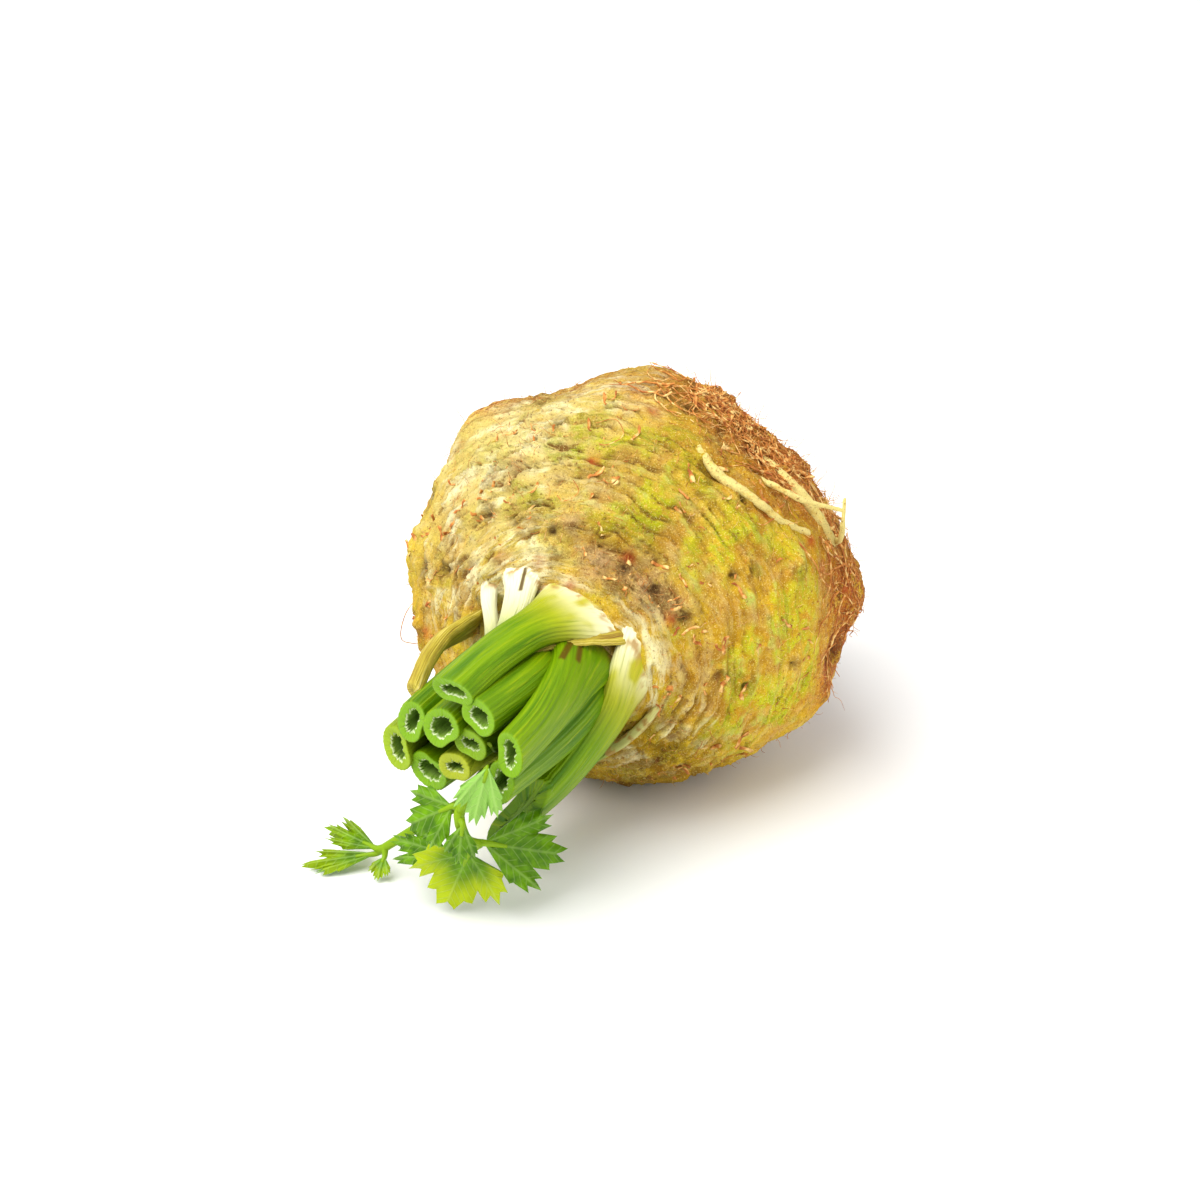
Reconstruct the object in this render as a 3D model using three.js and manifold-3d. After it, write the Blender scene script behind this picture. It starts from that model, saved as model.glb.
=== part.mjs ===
// A celeriac: the swollen root of a celery plant, lying on its side as a greengrocer sells it, with its
// leaf stalks cut short in one slanting pass and two small young leaves left hanging from the crown.
//
// Everything is modelled in the plant's own frame, in millimetres: the origin is the middle of the bulb,
// +Z runs from the root end out through the crown along the stalks, +Y is up when the root lies on the
// table, and +X is to the right for someone who faces the crown. One group then lays the plant down.

import * as THREE from "three";
import { mergeVertices } from "three/addons/utils/BufferGeometryUtils.js";
import Module from "manifold-3d";

const wasm = await Module();
wasm.setup();

// Driving dimensions
const BULB_RADIUS = 58;
const CENTRE_HEIGHT = 58.2;
const LAID_TURN = -23;
const GAP = 0.3;
const STALK_WALL = 2.1;
const STALK_SIDES = 16;
const BLADE = 0.7;
const TABLE_CLEARANCE = 0.05;

const rad = THREE.MathUtils.degToRad;
const bell = (x, width) => Math.exp(-((x / width) ** 2));
const smooth = (x, from, to) => THREE.MathUtils.smoothstep(x, from, to);
const point = (list) => new THREE.Vector3(...list);

// The side that shows best when the root lies on the table: up, and out past the crown.
const FRONT = point([0.35, 0.42, 0.84]);

// A direction from the middle of the bulb: polar is the angle from the crown, turn runs round the axis
// from +X towards +Y.
function towards(polar, turn) {
  const p = rad(polar), t = rad(turn);
  return new THREE.Vector3(Math.sin(p) * Math.cos(t), Math.sin(p) * Math.sin(t), Math.cos(p));
}

// A repeatable random number from 0 to 1 for each whole number and stream.
function chance(n, stream) {
  const s = Math.sin(n * 127.1 + stream * 311.7) * 43758.5453;
  return s - Math.floor(s);
}

// The bulb

// Swellings and hollows of the bulb: [polar, turn, height, spread], in degrees and millimetres.
const SWELLINGS = [
  [89, 142, 7.5, 15],
  [72, 172, 5.5, 22],
  [60, -159, 5, 18],
  [110, -4, 5.5, 13],
  [95, -31, 6, 17],
  [122, 55, -5, 27],
  [104, 90, 2.5, 9],
  [80, 88, 1.5, 10],
  [76, 65, 2.2, 9],
  [68, 42, 2.4, 9],
  [78, 20, 2.6, 9],
  [94, 52, -3.2, 13],
  [96, 119, -2.6, 11],
  [96, -16, -4.5, 6],
  [70, 56, -1.4, 5],
  [50, 75, 1.5, 14],
  [55, 115, 1.2, 10],
  [48, 20, 1.8, 14],
  [45, -30, 1.6, 12],
  [20, 0, 2.5, 16],
  [88, -90, 1.5, 20],
  [180, 0, 3, 40],
];

// Lumps of the root end, spread evenly by the golden angle.
const ROOT_LUMPS = 26;
const rootLumps = Array.from({ length: ROOT_LUMPS }, (_, n) => ({
  axis: towards(118 + 58 * Math.sqrt(1 - n / ROOT_LUMPS), 137.5 * n + 20),
  height: 2.2 + 3 * chance(n, 1),
  spread: 7 + 4 * chance(n, 2),
}));
const swellings = [
  ...SWELLINGS.map(([polar, turn, height, spread]) => ({ axis: towards(polar, turn), height, spread })),
  ...rootLumps,
];

// Low crescents that the oldest leaves left round the crown. Each row rises slowly and drops sharply,
// and the crescents of one row stand over the gaps of the next.
const SCAR_STEP = 8.5;
const SCAR_HEIGHT = 2;

const SCAR_CREST = 0.7;

function scars(polar, turn) {
  const wander = 2.6 * Math.sin(2 * turn + 0.7) + 1.9 * Math.sin(5 * turn + 2.1) + 1.1 * Math.sin(11 * turn);
  const place = (polar + wander) / SCAR_STEP;
  const row = Math.floor(place), part = place - row;
  const near = smooth(polar, 22, 34) * (1 - smooth(polar, 70, 95));
  const along = 0.2 + 0.8 * Math.cos(4.5 * turn + row * 1.7 + 0.6 * Math.sin(2 * turn)) ** 2;
  const step = part < SCAR_CREST ? part / SCAR_CREST : (1 - part) / (1 - SCAR_CREST);
  return SCAR_HEIGHT * near * along * step;
}

// The root end is fluted between its thick roots.
const FLUTES = 9;
const FLUTE_HEIGHT = 1.3;

// Distance of the skin from the middle of the bulb, along a unit direction.
function bulbRadius(direction) {
  const polar = THREE.MathUtils.radToDeg(Math.acos(THREE.MathUtils.clamp(direction.z, -1, 1)));
  const turn = Math.atan2(direction.y, direction.x);
  let radius = BULB_RADIUS + scars(polar, turn);
  for (const { axis, height, spread } of swellings) {
    const apart = THREE.MathUtils.radToDeg(axis.angleTo(direction));
    radius += height * bell(apart, spread);
  }
  const rootEnd = smooth(polar, 95, 150);
  return radius + rootEnd * FLUTE_HEIGHT * Math.sin(FLUTES * turn + 3 * Math.sin(rad(polar * 3)));
}

function skinPoint(polar, turn, out = 0) {
  const direction = towards(polar, turn);
  return direction.multiplyScalar(bulbRadius(direction) + out);
}

// Solids

// A solid from corner points and triangles, turned right side out.
function solid(points, triangles) {
  const make = (list) => new wasm.Manifold(new wasm.Mesh({
    numProp: 3,
    vertProperties: new Float32Array(points.flatMap((p) => [p.x, p.y, p.z])),
    triVerts: new Uint32Array(list.flat()),
  }));
  const made = make(triangles);
  return made.volume() > 0 ? made : make(triangles.map(([a, b, c]) => [a, c, b]));
}

// A solid through rings of equally many points, closed at both ends by a fan.
function loft(rings) {
  const sides = rings[0].length;
  const points = rings.flat();
  const triangles = [];
  for (let r = 0; r + 1 < rings.length; r += 1) {
    for (let s = 0; s < sides; s += 1) {
      const a = r * sides + s, b = r * sides + (s + 1) % sides;
      triangles.push([a, b, b + sides], [a, b + sides, a + sides]);
    }
  }
  for (const [ring, last] of [[rings[0], false], [rings.at(-1), true]]) {
    const middle = points.length, start = last ? (rings.length - 1) * sides : 0;
    points.push(ring.reduce((sum, p) => sum.add(p), new THREE.Vector3()).divideScalar(sides));
    for (let s = 0; s < sides; s += 1) {
      const a = start + s, b = start + (s + 1) % sides;
      triangles.push(last ? [a, b, middle] : [b, a, middle]);
    }
  }
  return solid(points, triangles);
}

// Only the largest piece of a cut solid: slivers that a cut leaves loose are dropped.
function largest(cut) {
  return cut.decompose().reduce((best, piece) => (piece.volume() > best.volume() ? piece : best));
}

function mesh(name, made, material) {
  const { vertProperties, triVerts, numProp, numVert } = made.getMesh();
  const positions = new Float32Array(numVert * 3);
  for (let v = 0; v < numVert; v += 1) {
    positions.set(vertProperties.subarray(v * numProp, v * numProp + 3), v * 3);
  }
  const geometry = new THREE.BufferGeometry()
    .setAttribute("position", new THREE.BufferAttribute(positions, 3))
    .setIndex(new THREE.BufferAttribute(triVerts, 1));
  geometry.computeVertexNormals();
  const part = new THREE.Mesh(geometry, material);
  part.name = name;
  return part;
}

// A closed three.js geometry as a solid.
function solidOf(geometry) {
  const bare = geometry.clone();
  bare.deleteAttribute("normal");
  bare.deleteAttribute("uv");
  const merged = mergeVertices(bare, 1e-4);
  return new wasm.Manifold(new wasm.Mesh({
    numProp: 3,
    vertProperties: merged.attributes.position.array,
    triVerts: new Uint32Array(merged.index.array),
  }));
}

// Everything below the table, which the parts that lie on it are trimmed by.
function belowTable(height) {
  const size = 400;
  const slab = new THREE.BoxGeometry(size, size, size);
  slab.translate(0, height - CENTRE_HEIGHT - size / 2, 0);
  return solidOf(slab);
}

// The skin as rings round the axis. They lie closer together where the terraces are.
const BULB_SIDES = 56;
const BULB_ROWS = [
  6, 13, 20,
  ...Array.from({ length: 16 }, (_, n) => 26 + 3.7 * n),
  ...Array.from({ length: 13 }, (_, n) => 87 + 6.6 * n),
  173,
];

function bulbBody(out) {
  const rings = BULB_ROWS.map((polar) => Array.from({ length: BULB_SIDES }, (_, n) => (
    skinPoint(polar, (360 * n) / BULB_SIDES, out))));
  return loft(rings);
}

// Side roots

// A round root along a path of points, from a thick end sunk in the bulb to a thinner one.
function rootAlong(path, thick, thin, sides = 6, steps = 6) {
  const curve = new THREE.CatmullRomCurve3(path);
  const rings = [];
  for (let step = 0; step <= steps; step += 1) {
    const along = step / steps;
    const middle = curve.getPointAt(along), tangent = curve.getTangentAt(along);
    const side = new THREE.Vector3(0.31, 0.17, 0.93).cross(tangent).normalize();
    const other = tangent.clone().cross(side);
    const radius = THREE.MathUtils.lerp(thick, thin, along);
    rings.push(Array.from({ length: sides }, (_, n) => {
      const a = (2 * Math.PI * n) / sides;
      return middle.clone()
        .addScaledVector(side, radius * Math.cos(a))
        .addScaledVector(other, radius * Math.sin(a));
    }));
  }
  return loft(rings);
}

// Side roots that show from the front: [polar, turn, height over the skin] for each point of the path,
// then the radius at each end.
const SIDE_ROOTS = [
  {
    path: [[72, 66, -1], [69, 55, 0.4], [70, 43, 0.6], [75, 33, 0.4], [83, 25, -0.6], [90, 21, -2]],
    thick: 2.2,
    thin: 1.7,
  },
  { path: [[80, 47, -2], [79, 41, 2.2], [81, 35, 5], [88, 27, 11]], thick: 1.5, thin: 1 },
  { path: [[103, 16, -2], [97, 17, 2.5], [93, 22, 6.5], [95, 28, 10]], thick: 2, thin: 1.1 },
  {
    path: [[100, 52, -3], [93, 41, -0.2], [92, 31, 0.6], [96, 20, 0.2], [103, 12, -3]],
    thick: 3,
    thin: 2.6,
  },
];

// Thick roots of the root end, each trimmed off short when the celeriac was cleaned. They stay off the
// side that lies on the table.
const STUBS = 30;
const STUB_TAPER = 0.62;
const stubs = Array.from({ length: STUBS }, (_, n) => {
  const polar = 120 + 54 * Math.sqrt(1 - (n + 0.5) / STUBS), turn = 137.5 * n + 75;
  const reach = 4 + 6 * chance(n, 3), bend = 9 * (chance(n, 4) - 0.5);
  const thick = 3.2 + 2 * chance(n, 5);
  const path = [[polar, turn, -7], [polar + 1, turn, 0], [polar + 2 + bend / 3, turn + bend, reach]];
  return { path, thick, thin: thick * STUB_TAPER };
}).filter(({ path }) => {
  const foot = towards(path[0][0], path[0][1]);
  return foot.y > -0.72 && foot.dot(FRONT) < -0.63;
});

// A leaf base torn off near the bulb: a thin wedge that leans along the skin.
const TORN_BASE = {
  path: [[25, -12, 43], [24, -17, 50], [17.5, -24.5, 54], [10, -30, 56]],
  out: [-40, -40],
  wide: [15, 12, 4],
  thick: 3,
};

// Leaf stalks

// One cut leaf stalk. path runs from inside the bulb to the cut end. out is the way its ribbed back
// faces at the bulb and at the cut, in degrees round the axis. wide is its width at the bulb, at the
// waist and at the cut, and thick its thickness at the cut. A closed one is solid at its end.
const STALKS = [
  {
    name: "stalk_right",
    path: [[4, 5, 48], [9.2, 5, 62], [12, 4.6, 76], [13, 2, 102], [12, 0.3, 118]],
    out: [68, 2],
    wide: [27, 15, 13],
    thick: 9,
  },
  {
    name: "stalk_upper",
    path: [[-0.5, 1, 50], [2.4, 3.6, 68], [3.9, 6, 86], [1.5, 7.4, 114]],
    out: [80, 60],
    wide: [12, 11, 11.4],
    thick: 10.4,
  },
  {
    name: "stalk_lower_right",
    path: [[14, -8, 48], [13.7, -8, 67], [11.9, -9.4, 82], [7, -10.8, 114]],
    out: [-5, -25],
    wide: [17, 14, 13.6],
    thick: 10,
  },
  {
    name: "stalk_outer_right",
    path: [
      [25, 3, 45], [21, -3, 57], [17.6, -12, 67],
      [14.2, -18.2, 74.5], [9.2, -25.2, 82], [1.6, -33, 90.5],
    ],
    out: [15, -28],
    wide: [29, 12, 24],
    thick: 9.4,
    isClosed: true,
  },
  {
    name: "stalk_left",
    path: [[-18, 0, 48], [-19.6, -0.6, 80], [-21.2, -1.6, 107]],
    out: [130, 160],
    wide: [14, 12.4, 13],
    thick: 9.2,
  },
  {
    name: "stalk_outer_left",
    path: [[-24, -13, 44], [-26.2, -11.8, 78], [-26.7, -11.5, 105]],
    out: [195, 195],
    wide: [18, 12, 12.8],
    thick: 9.4,
  },
  {
    name: "stalk_middle",
    path: [[-9, -3, 52], [-10, -0.6, 82], [-11.2, -0.2, 110]],
    out: [110, 130],
    wide: [12, 12, 13],
    thick: 11,
  },
  {
    name: "stalk_heart",
    path: [[-1, -6, 52], [-1.6, -4.6, 84], [-2.8, -3.4, 110]],
    out: [60, 80],
    wide: [11, 10, 11],
    thick: 8.6,
  },
  {
    name: "stalk_young",
    path: [[-5, -14, 52], [-6.6, -12.8, 82], [-8.3, -12, 108.5]],
    out: [100, 100],
    wide: [11, 9.8, 10.8],
    thick: 8.4,
  },
  {
    name: "stalk_lower",
    path: [[-13, -24, 45], [-15.4, -18.5, 78], [-17, -15.8, 106]],
    out: [250, 250],
    wide: [17, 13, 12.8],
    thick: 10,
  },
];

// The stalk on top. Its broad sheath has split into three straps where it leaves the bulb.
const TOP_STALK = {
  name: "stalk_top",
  path: [[9.5, 14.5, 47], [4.8, 15, 59], [-1.5, 14.6, 76], [-4.4, 14.2, 96], [-6.2, 12.8, 113]],
  out: [62, 92],
  wide: [29, 12, 13.4],
  thick: 9,
  cut: [-0.2, -0.3, 0.93],
};
const TOP_STRAPS = [
  {
    path: [[-16, 25.4, 42], [-11.6, 19, 56], [-8.6, 15.4, 68], [-5.5, 13.4, 84]],
    out: [112, 95],
    wide: [21, 9, 6],
    thick: 5.5,
  },
  {
    path: [[-27, 16.5, 43], [-20.8, 13, 58], [-14, 11.6, 71], [-7.5, 12.3, 86]],
    out: [140, 95],
    wide: [8, 4, 4],
    thick: 4,
  },
];

// A withered leaf base, folded and brown, that tapers to a thin tip.
const WITHERED = {
  name: "withered_stalk",
  path: [[-28, 1, 43], [-28.4, 3.4, 60], [-27.8, 6, 76], [-25.8, 5.8, 89], [-24, 3.2, 99]],
  out: [150, 135],
  wide: [11, 9.6, 4],
  thick: 5,
};

// Where the rings of a stalk stand along it, and how far in its hollow ends.
const STALK_ROWS = [0, 0.13, 0.27, 0.43, 0.62, 0.82];
const HOLLOW_FLOOR = 0.84;

// The slanting pass of the knife that cut all the stalks.
const CUT_SLOPE = [-0.26, 0.02, 0.96];

function stalkRings({ path, out, wide, thick, cut = CUT_SLOPE }, grow, isHollow) {
  const curve = new THREE.CatmullRomCurve3(path.map(point), false, "chordal");
  const slope = point(cut).normalize(), end = point(path.at(-1));
  const ring = (along, wall, isCut) => {
    const middle = curve.getPointAt(along), tangent = curve.getTangentAt(along);
    const facing = rad(THREE.MathUtils.lerp(out[0], out[1], smooth(along, 0, 0.9)));
    const outward = new THREE.Vector3(Math.cos(facing), Math.sin(facing), 0);
    outward.addScaledVector(tangent, -outward.dot(tangent)).normalize();
    const side = outward.clone().cross(tangent);
    const flare = (1 - smooth(along, 0, 0.5)) ** 1.2;
    const plain = THREE.MathUtils.lerp(wide[1], wide[2], smooth(along, 0.3, 1));
    const halfWide = THREE.MathUtils.lerp(plain, wide[0], flare) / 2 + grow - wall;
    const halfThick = (thick * (1 - 0.3 * flare)) / 2 + grow - wall;
    return Array.from({ length: STALK_SIDES }, (_, n) => {
      const a = (2 * Math.PI * (n + 0.5)) / STALK_SIDES;
      const across = Math.cos(a), through = Math.sin(a);
      const rib = (through > -0.2 ? 1 : 0.4) * (n % 2 ? 0.03 : -0.03);
      const uneven = wall ? 1 + (n % 2 ? 0.14 : -0.1) : 1 + rib;
      const groove = through < 0 ? 0.2 * bell(across, 0.45) : 0;
      const x = Math.sign(across) * Math.abs(across) ** 0.88 * halfWide * uneven;
      const y = through * halfThick * (1 - groove) * uneven - across ** 2 * flare * halfWide * 0.16;
      const corner = middle.clone().addScaledVector(side, x).addScaledVector(outward, y);
      if (isCut) corner.addScaledVector(tangent, slope.dot(end.clone().sub(corner)) / slope.dot(tangent));
      return corner;
    });
  };
  const rings = STALK_ROWS.map((along) => ring(along, 0, false));
  rings.push(ring(1, 0, true));
  if (isHollow) rings.push(ring(1, STALK_WALL, true), ring(HOLLOW_FLOOR, STALK_WALL * 1.2, false));
  return rings;
}

function stalk(spec, grow = 0, isHollow = !spec.isClosed) {
  return loft(stalkRings(spec, grow, isHollow && grow === 0));
}

// The top stalk with its straps, which join it well inside.
function topStalk(grow) {
  return TOP_STRAPS.reduce((made, strap) => made.add(stalk(strap, grow, false)), stalk(TOP_STALK, grow));
}

// The bulb with its roots and the torn leaf base, resting on a small flat spot.
let bulb = bulbBody(0).add(stalk(TORN_BASE, 0, false));
for (const { path, thick, thin } of SIDE_ROOTS) {
  bulb = bulb.add(rootAlong(path.map((place) => skinPoint(...place)), thick, thin, 6, 7));
}
for (const { path, thick, thin } of stubs) {
  bulb = bulb.add(rootAlong(path.map((place) => skinPoint(...place)), thick, thin, 6, 2));
}
bulb = largest(bulb.subtract(belowTable(0)));
const bulbRoom = bulbBody(GAP).add(stalk(TORN_BASE, GAP));

// Young leaves

// One toothed leaflet: a fan of three lobes from its base to the tip of the middle lobe. face is the
// way its upper side looks, spread is half the angle of the fan, droop bends it back along its length
// and cup lifts its edges.
const BLADE_RINGS = [0.1, 0.6, 1];
const BLADE_POINTS = 22;
const TOOTH_DEPTH = 0.13;
const MIDRIB = [1.1, 0.5];

// How far the blade reaches, as a share of its length, for a share of its spread from -1 to 1.
function lobes(share) {
  const lobe = (middle, length, width) => length * (1 - 0.3 * ((share - middle) / width) ** 2);
  return Math.max(lobe(0, 1, 0.4), lobe(0.64, 0.86, 0.42), lobe(-0.64, 0.86, 0.42)) * (1 - 0.2 * share ** 4);
}

function blade({ from, base, tip, face, spread, droop = 0, cup = 0 }, grow = 0) {
  const foot = point(base), along = point(tip).sub(foot), length = along.length();
  along.normalize();
  const up = point(face).addScaledVector(along, -point(face).dot(along)).normalize();
  const across = up.clone().cross(along);
  const midrib = [0.12, 0.26].map((share) => foot.clone().addScaledVector(along, share * length)
    .addScaledVector(up, -droop * length * share * share));
  const points = [];
  for (const side of [1, -1]) {
    for (const ring of BLADE_RINGS) {
      for (let n = 0; n <= BLADE_POINTS; n += 1) {
        const share = (2 * n) / BLADE_POINTS - 1;
        const tooth = n % 2 ? 1 - TOOTH_DEPTH * smooth(ring, 0.5, 1) : 1;
        const reach = length * lobes(share) * ring * tooth;
        const angle = rad(spread) * share;
        const a = reach * Math.cos(angle), c = reach * Math.sin(angle);
        const fold = 0.03 * length * Math.cos(3 * Math.PI * share) * ring;
        const lift = (cup * c * c - droop * a * Math.abs(a)) / length + fold;
        const normal = up.clone().addScaledVector(along, (2 * droop * Math.abs(a)) / length)
          .addScaledVector(across, (-2 * cup * c) / length).normalize();
        points.push(foot.clone()
          .addScaledVector(along, a)
          .addScaledVector(across, c)
          .addScaledVector(up, lift)
          .addScaledVector(normal, side * (BLADE / 2 + grow)));
      }
    }
  }
  const row = BLADE_POINTS + 1, layer = row * BLADE_RINGS.length;
  const triangles = [];
  for (let r = 0; r + 1 < BLADE_RINGS.length; r += 1) {
    for (let n = 0; n < BLADE_POINTS; n += 1) {
      const a = r * row + n, b = a + 1, c = a + row, d = c + 1;
      triangles.push([a, b, d], [a, d, c]);
      triangles.push([a + layer, d + layer, b + layer], [a + layer, c + layer, d + layer]);
    }
  }
  const rim = [];
  for (let n = 0; n <= BLADE_POINTS; n += 1) rim.push(n);
  for (let r = 1; r < BLADE_RINGS.length; r += 1) rim.push(r * row + BLADE_POINTS);
  for (let n = BLADE_POINTS - 1; n >= 0; n -= 1) rim.push((BLADE_RINGS.length - 1) * row + n);
  for (let r = BLADE_RINGS.length - 2; r > 0; r -= 1) rim.push(r * row);
  rim.forEach((a, n) => {
    const b = rim[(n + 1) % rim.length];
    triangles.push([b, a, a + layer], [b, a + layer, b + layer]);
  });
  const rib = rootAlong([point(from), foot, ...midrib], MIDRIB[0] + grow, MIDRIB[1] + grow, 6, 3);
  return solid(points, triangles).add(rib);
}

// A leaf is a thin stalk with its leaflets grown together at one or two places. Each leaflet's rib runs
// from a point on the stalk to the base of its blade.
const LEAVES = [
  {
    name: "leaf_front",
    stem: [
      [-4, -19, 50], [-3.6, -18.5, 76], [-3, -16.8, 106],
      [-3, -20, 117], [-2, -28, 115.5], [-1.8, -34, 107.5],
    ],
    radius: [2.2, 1.3],
    leaflets: [
      {
        from: [-3, -20, 117], base: [7, -3, 120], tip: [3.6, -20, 123.5], face: [0.35, 0.3, 0.85],
        spread: 38, droop: 0.1, cup: 0.15,
      },
      {
        from: [-3, -19, 116], base: [-5, -18.6, 117], tip: [-18.7, -26.6, 119], face: [-0.1, 0.35, 0.9],
        spread: 60, droop: 0.15, cup: 0.1,
      },
      {
        from: [-2.8, -21.6, 117], base: [-0.8, -22, 119.5], tip: [-1.6, -34, 121.5], face: [0.2, 0.3, 0.93],
        spread: 40, droop: 0.1, cup: -0.3,
      },
      {
        from: [-1.8, -33.2, 108.2], base: [-0.1, -33, 108], tip: [18, -41.5, 91.5], face: [0.45, 0.4, 0.75],
        spread: 45, droop: 0.1, cup: 0.1,
      },
      {
        from: [-1.8, -34, 107.5], base: [-4.6, -37.2, 108], tip: [-13.2, -55.8, 104.5], face: [0.4, 0.35, 0.85],
        spread: 78, droop: -0.1, cup: 0.15,
      },
      {
        from: [-1.8, -33.8, 107.6], base: [-10.5, -39.5, 107], tip: [-32.5, -41.5, 100.5], face: [0, 1, 1],
        spread: 27, droop: 0.1, cup: 0.3,
      },
    ],
  },
  {
    name: "leaf_left",
    stem: [[-13, -35, 37], [-17, -39, 68], [-25, -40.5, 90], [-39.5, -52, 92]],
    radius: [2.2, 1.2],
    leaflets: [
      {
        from: [-37, -50, 92], base: [-40.5, -53, 92], tip: [-59.5, -56, 101], face: [0.12, 0.93, 0.34],
        spread: 20, droop: 0.05, cup: 0.1,
      },
      {
        from: [-38, -50.6, 92], base: [-40, -51.3, 92], tip: [-59, -50.6, 86.5], face: [0.1, 0.85, 0.5],
        spread: 23, droop: 0, cup: 0.15,
      },
      {
        from: [-37.6, -50.4, 92], base: [-37, -52.4, 93.5], tip: [-37, -56.8, 99.5], face: [0.1, 0.75, 0.6],
        spread: 45, droop: 0.1, cup: 0.2,
      },
    ],
  },
];

function leaf({ stem, radius, leaflets }, grow = 0) {
  const ownStalk = rootAlong(stem.map(point), radius[0] + grow, radius[1] + grow, 7, 9);
  const whole = leaflets.reduce((made, leaflet) => made.add(blade(leaflet, grow)), ownStalk);
  return whole.subtract(belowTable(TABLE_CLEARANCE));
}

// Pieces that stand against each other: each is trimmed by the room that the ones before it take.
const placed = [];
function place(name, made, room) {
  const cut = placed.reduce((left, other) => left.subtract(other.room), made.subtract(bulbRoom));
  placed.push({ name, made: largest(cut), room });
}

place(TOP_STALK.name, topStalk(0), topStalk(GAP));
for (const spec of STALKS) place(spec.name, stalk(spec), stalk(spec, GAP));
place(WITHERED.name, stalk(WITHERED, 0, false), stalk(WITHERED, GAP));
for (const spec of LEAVES) place(spec.name, leaf(spec), leaf(spec, GAP));

// Colours
const material = (color, roughness) => new THREE.MeshStandardMaterial({ color, roughness, metalness: 0 });
const SKIN = material(0xcdb45a, 0.85);
const STALK_GREEN = material(0x7aa61e, 0.5);
const WITHERED_BROWN = material(0xb39a2c, 0.7);
const LEAF_GREEN = material(0x5c9a1c, 0.5);

function materialOf(name) {
  if (name.startsWith("leaf")) return LEAF_GREEN;
  return name === WITHERED.name ? WITHERED_BROWN : STALK_GREEN;
}

// The whole plant, laid on its side on the table with the middle of its flat spot at the origin.
const plant = new THREE.Group();
plant.add(mesh("bulb", bulb, SKIN));
for (const { name, made } of placed) plant.add(mesh(name, made, materialOf(name)));
plant.rotation.set(Math.PI / 2, 0, rad(LAID_TURN), "ZYX");
plant.position.z = CENTRE_HEIGHT;

const celeriac = new THREE.Group();
celeriac.add(plant);

export default celeriac;
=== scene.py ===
import math

import bpy
import numpy as np
from mathutils import Matrix, Vector, noise
from mathutils.kdtree import KDTree


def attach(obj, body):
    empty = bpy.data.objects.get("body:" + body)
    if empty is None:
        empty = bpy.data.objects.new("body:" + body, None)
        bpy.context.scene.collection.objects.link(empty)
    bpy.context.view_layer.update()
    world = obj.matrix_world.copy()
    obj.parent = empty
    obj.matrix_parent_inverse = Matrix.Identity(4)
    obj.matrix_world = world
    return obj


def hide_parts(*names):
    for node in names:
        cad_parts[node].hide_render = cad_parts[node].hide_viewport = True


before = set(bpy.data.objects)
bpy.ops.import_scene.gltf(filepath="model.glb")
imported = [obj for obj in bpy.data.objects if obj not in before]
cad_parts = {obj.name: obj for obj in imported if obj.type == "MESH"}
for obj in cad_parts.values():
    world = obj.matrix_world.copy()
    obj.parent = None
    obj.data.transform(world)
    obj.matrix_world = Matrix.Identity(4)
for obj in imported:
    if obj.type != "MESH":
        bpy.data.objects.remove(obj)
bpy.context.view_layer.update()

# The bulb: one swollen root, rough and dry outside, that lies on its side. The oldest leaves left low
# crescents round its crown, and the root end is furrowed and rusty. Its skin is a fine closed mesh from
# the same swellings as the solid's, with pits, wrinkles and furrows added.
CENTRE_HEIGHT = 58.2
LAID_TURN = math.radians(-23)
BULB_RADIUS = 58
ROOT_LUMPS = 26
SCAR_STEP = 8.5
SCAR_HEIGHT = 2
SKIN_STEPS = 124
# Each swelling: its polar angle from the crown, its turn, its height in mm and its spread in degrees.
SWELLINGS = [
    (89, 142, 7.5, 15),
    (72, 172, 5.5, 22),
    (60, -159, 5, 18),
    (110, -4, 5.5, 13),
    (95, -31, 6, 17),
    (122, 55, -5, 27),
    (104, 90, 2.5, 9),
    (80, 88, 1.5, 10),
    (76, 65, 2.2, 9),
    (68, 42, 2.4, 9),
    (78, 20, 2.6, 9),
    (94, 52, -3.2, 13),
    (96, 119, -2.6, 11),
    (96, -16, -4.5, 6),
    (70, 56, -1.4, 5),
    (50, 75, 1.5, 14),
    (55, 115, 1.2, 10),
    (48, 20, 1.8, 14),
    (45, -30, 1.6, 12),
    (20, 0, 2.5, 16),
    (88, -90, 1.5, 20),
    (180, 0, 3, 40),
]


def towards(polar, turn):
    """The unit direction at polar degrees from the crown and turn degrees round the axis."""
    p, t = np.radians(polar), np.radians(turn)
    return np.stack((np.sin(p) * np.cos(t), np.sin(p) * np.sin(t), np.cos(p) * np.ones_like(t)), -1)


def chance(n, stream):
    """A repeatable random number from 0 to 1."""
    return (math.sin(n * 127.1 + stream * 311.7) * 43758.5453) % 1


def smooth(x, low, high):
    """0 up to low, 1 from high on, and a soft rise between them."""
    t = np.clip((np.asarray(x, float) - low) / (high - low), 0, 1)
    return t * t * (3 - 2 * t)


def near(directions, polar, turn, spread):
    """1 on the spot at polar and turn, falling to 0 over spread degrees."""
    apart = np.degrees(np.arccos(np.clip(directions @ towards(polar, turn), -1, 1)))
    return np.exp(-((apart / spread) ** 2))


def laid(points):
    """Turns points of the plant's frame, in mm, into metres on the table."""
    x, y, z = np.asarray(points, float).T
    c, s = math.cos(LAID_TURN), math.sin(LAID_TURN)
    return np.column_stack((c * x + s * z, s * x - c * z, y + CENTRE_HEIGHT)) / 1000


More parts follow.
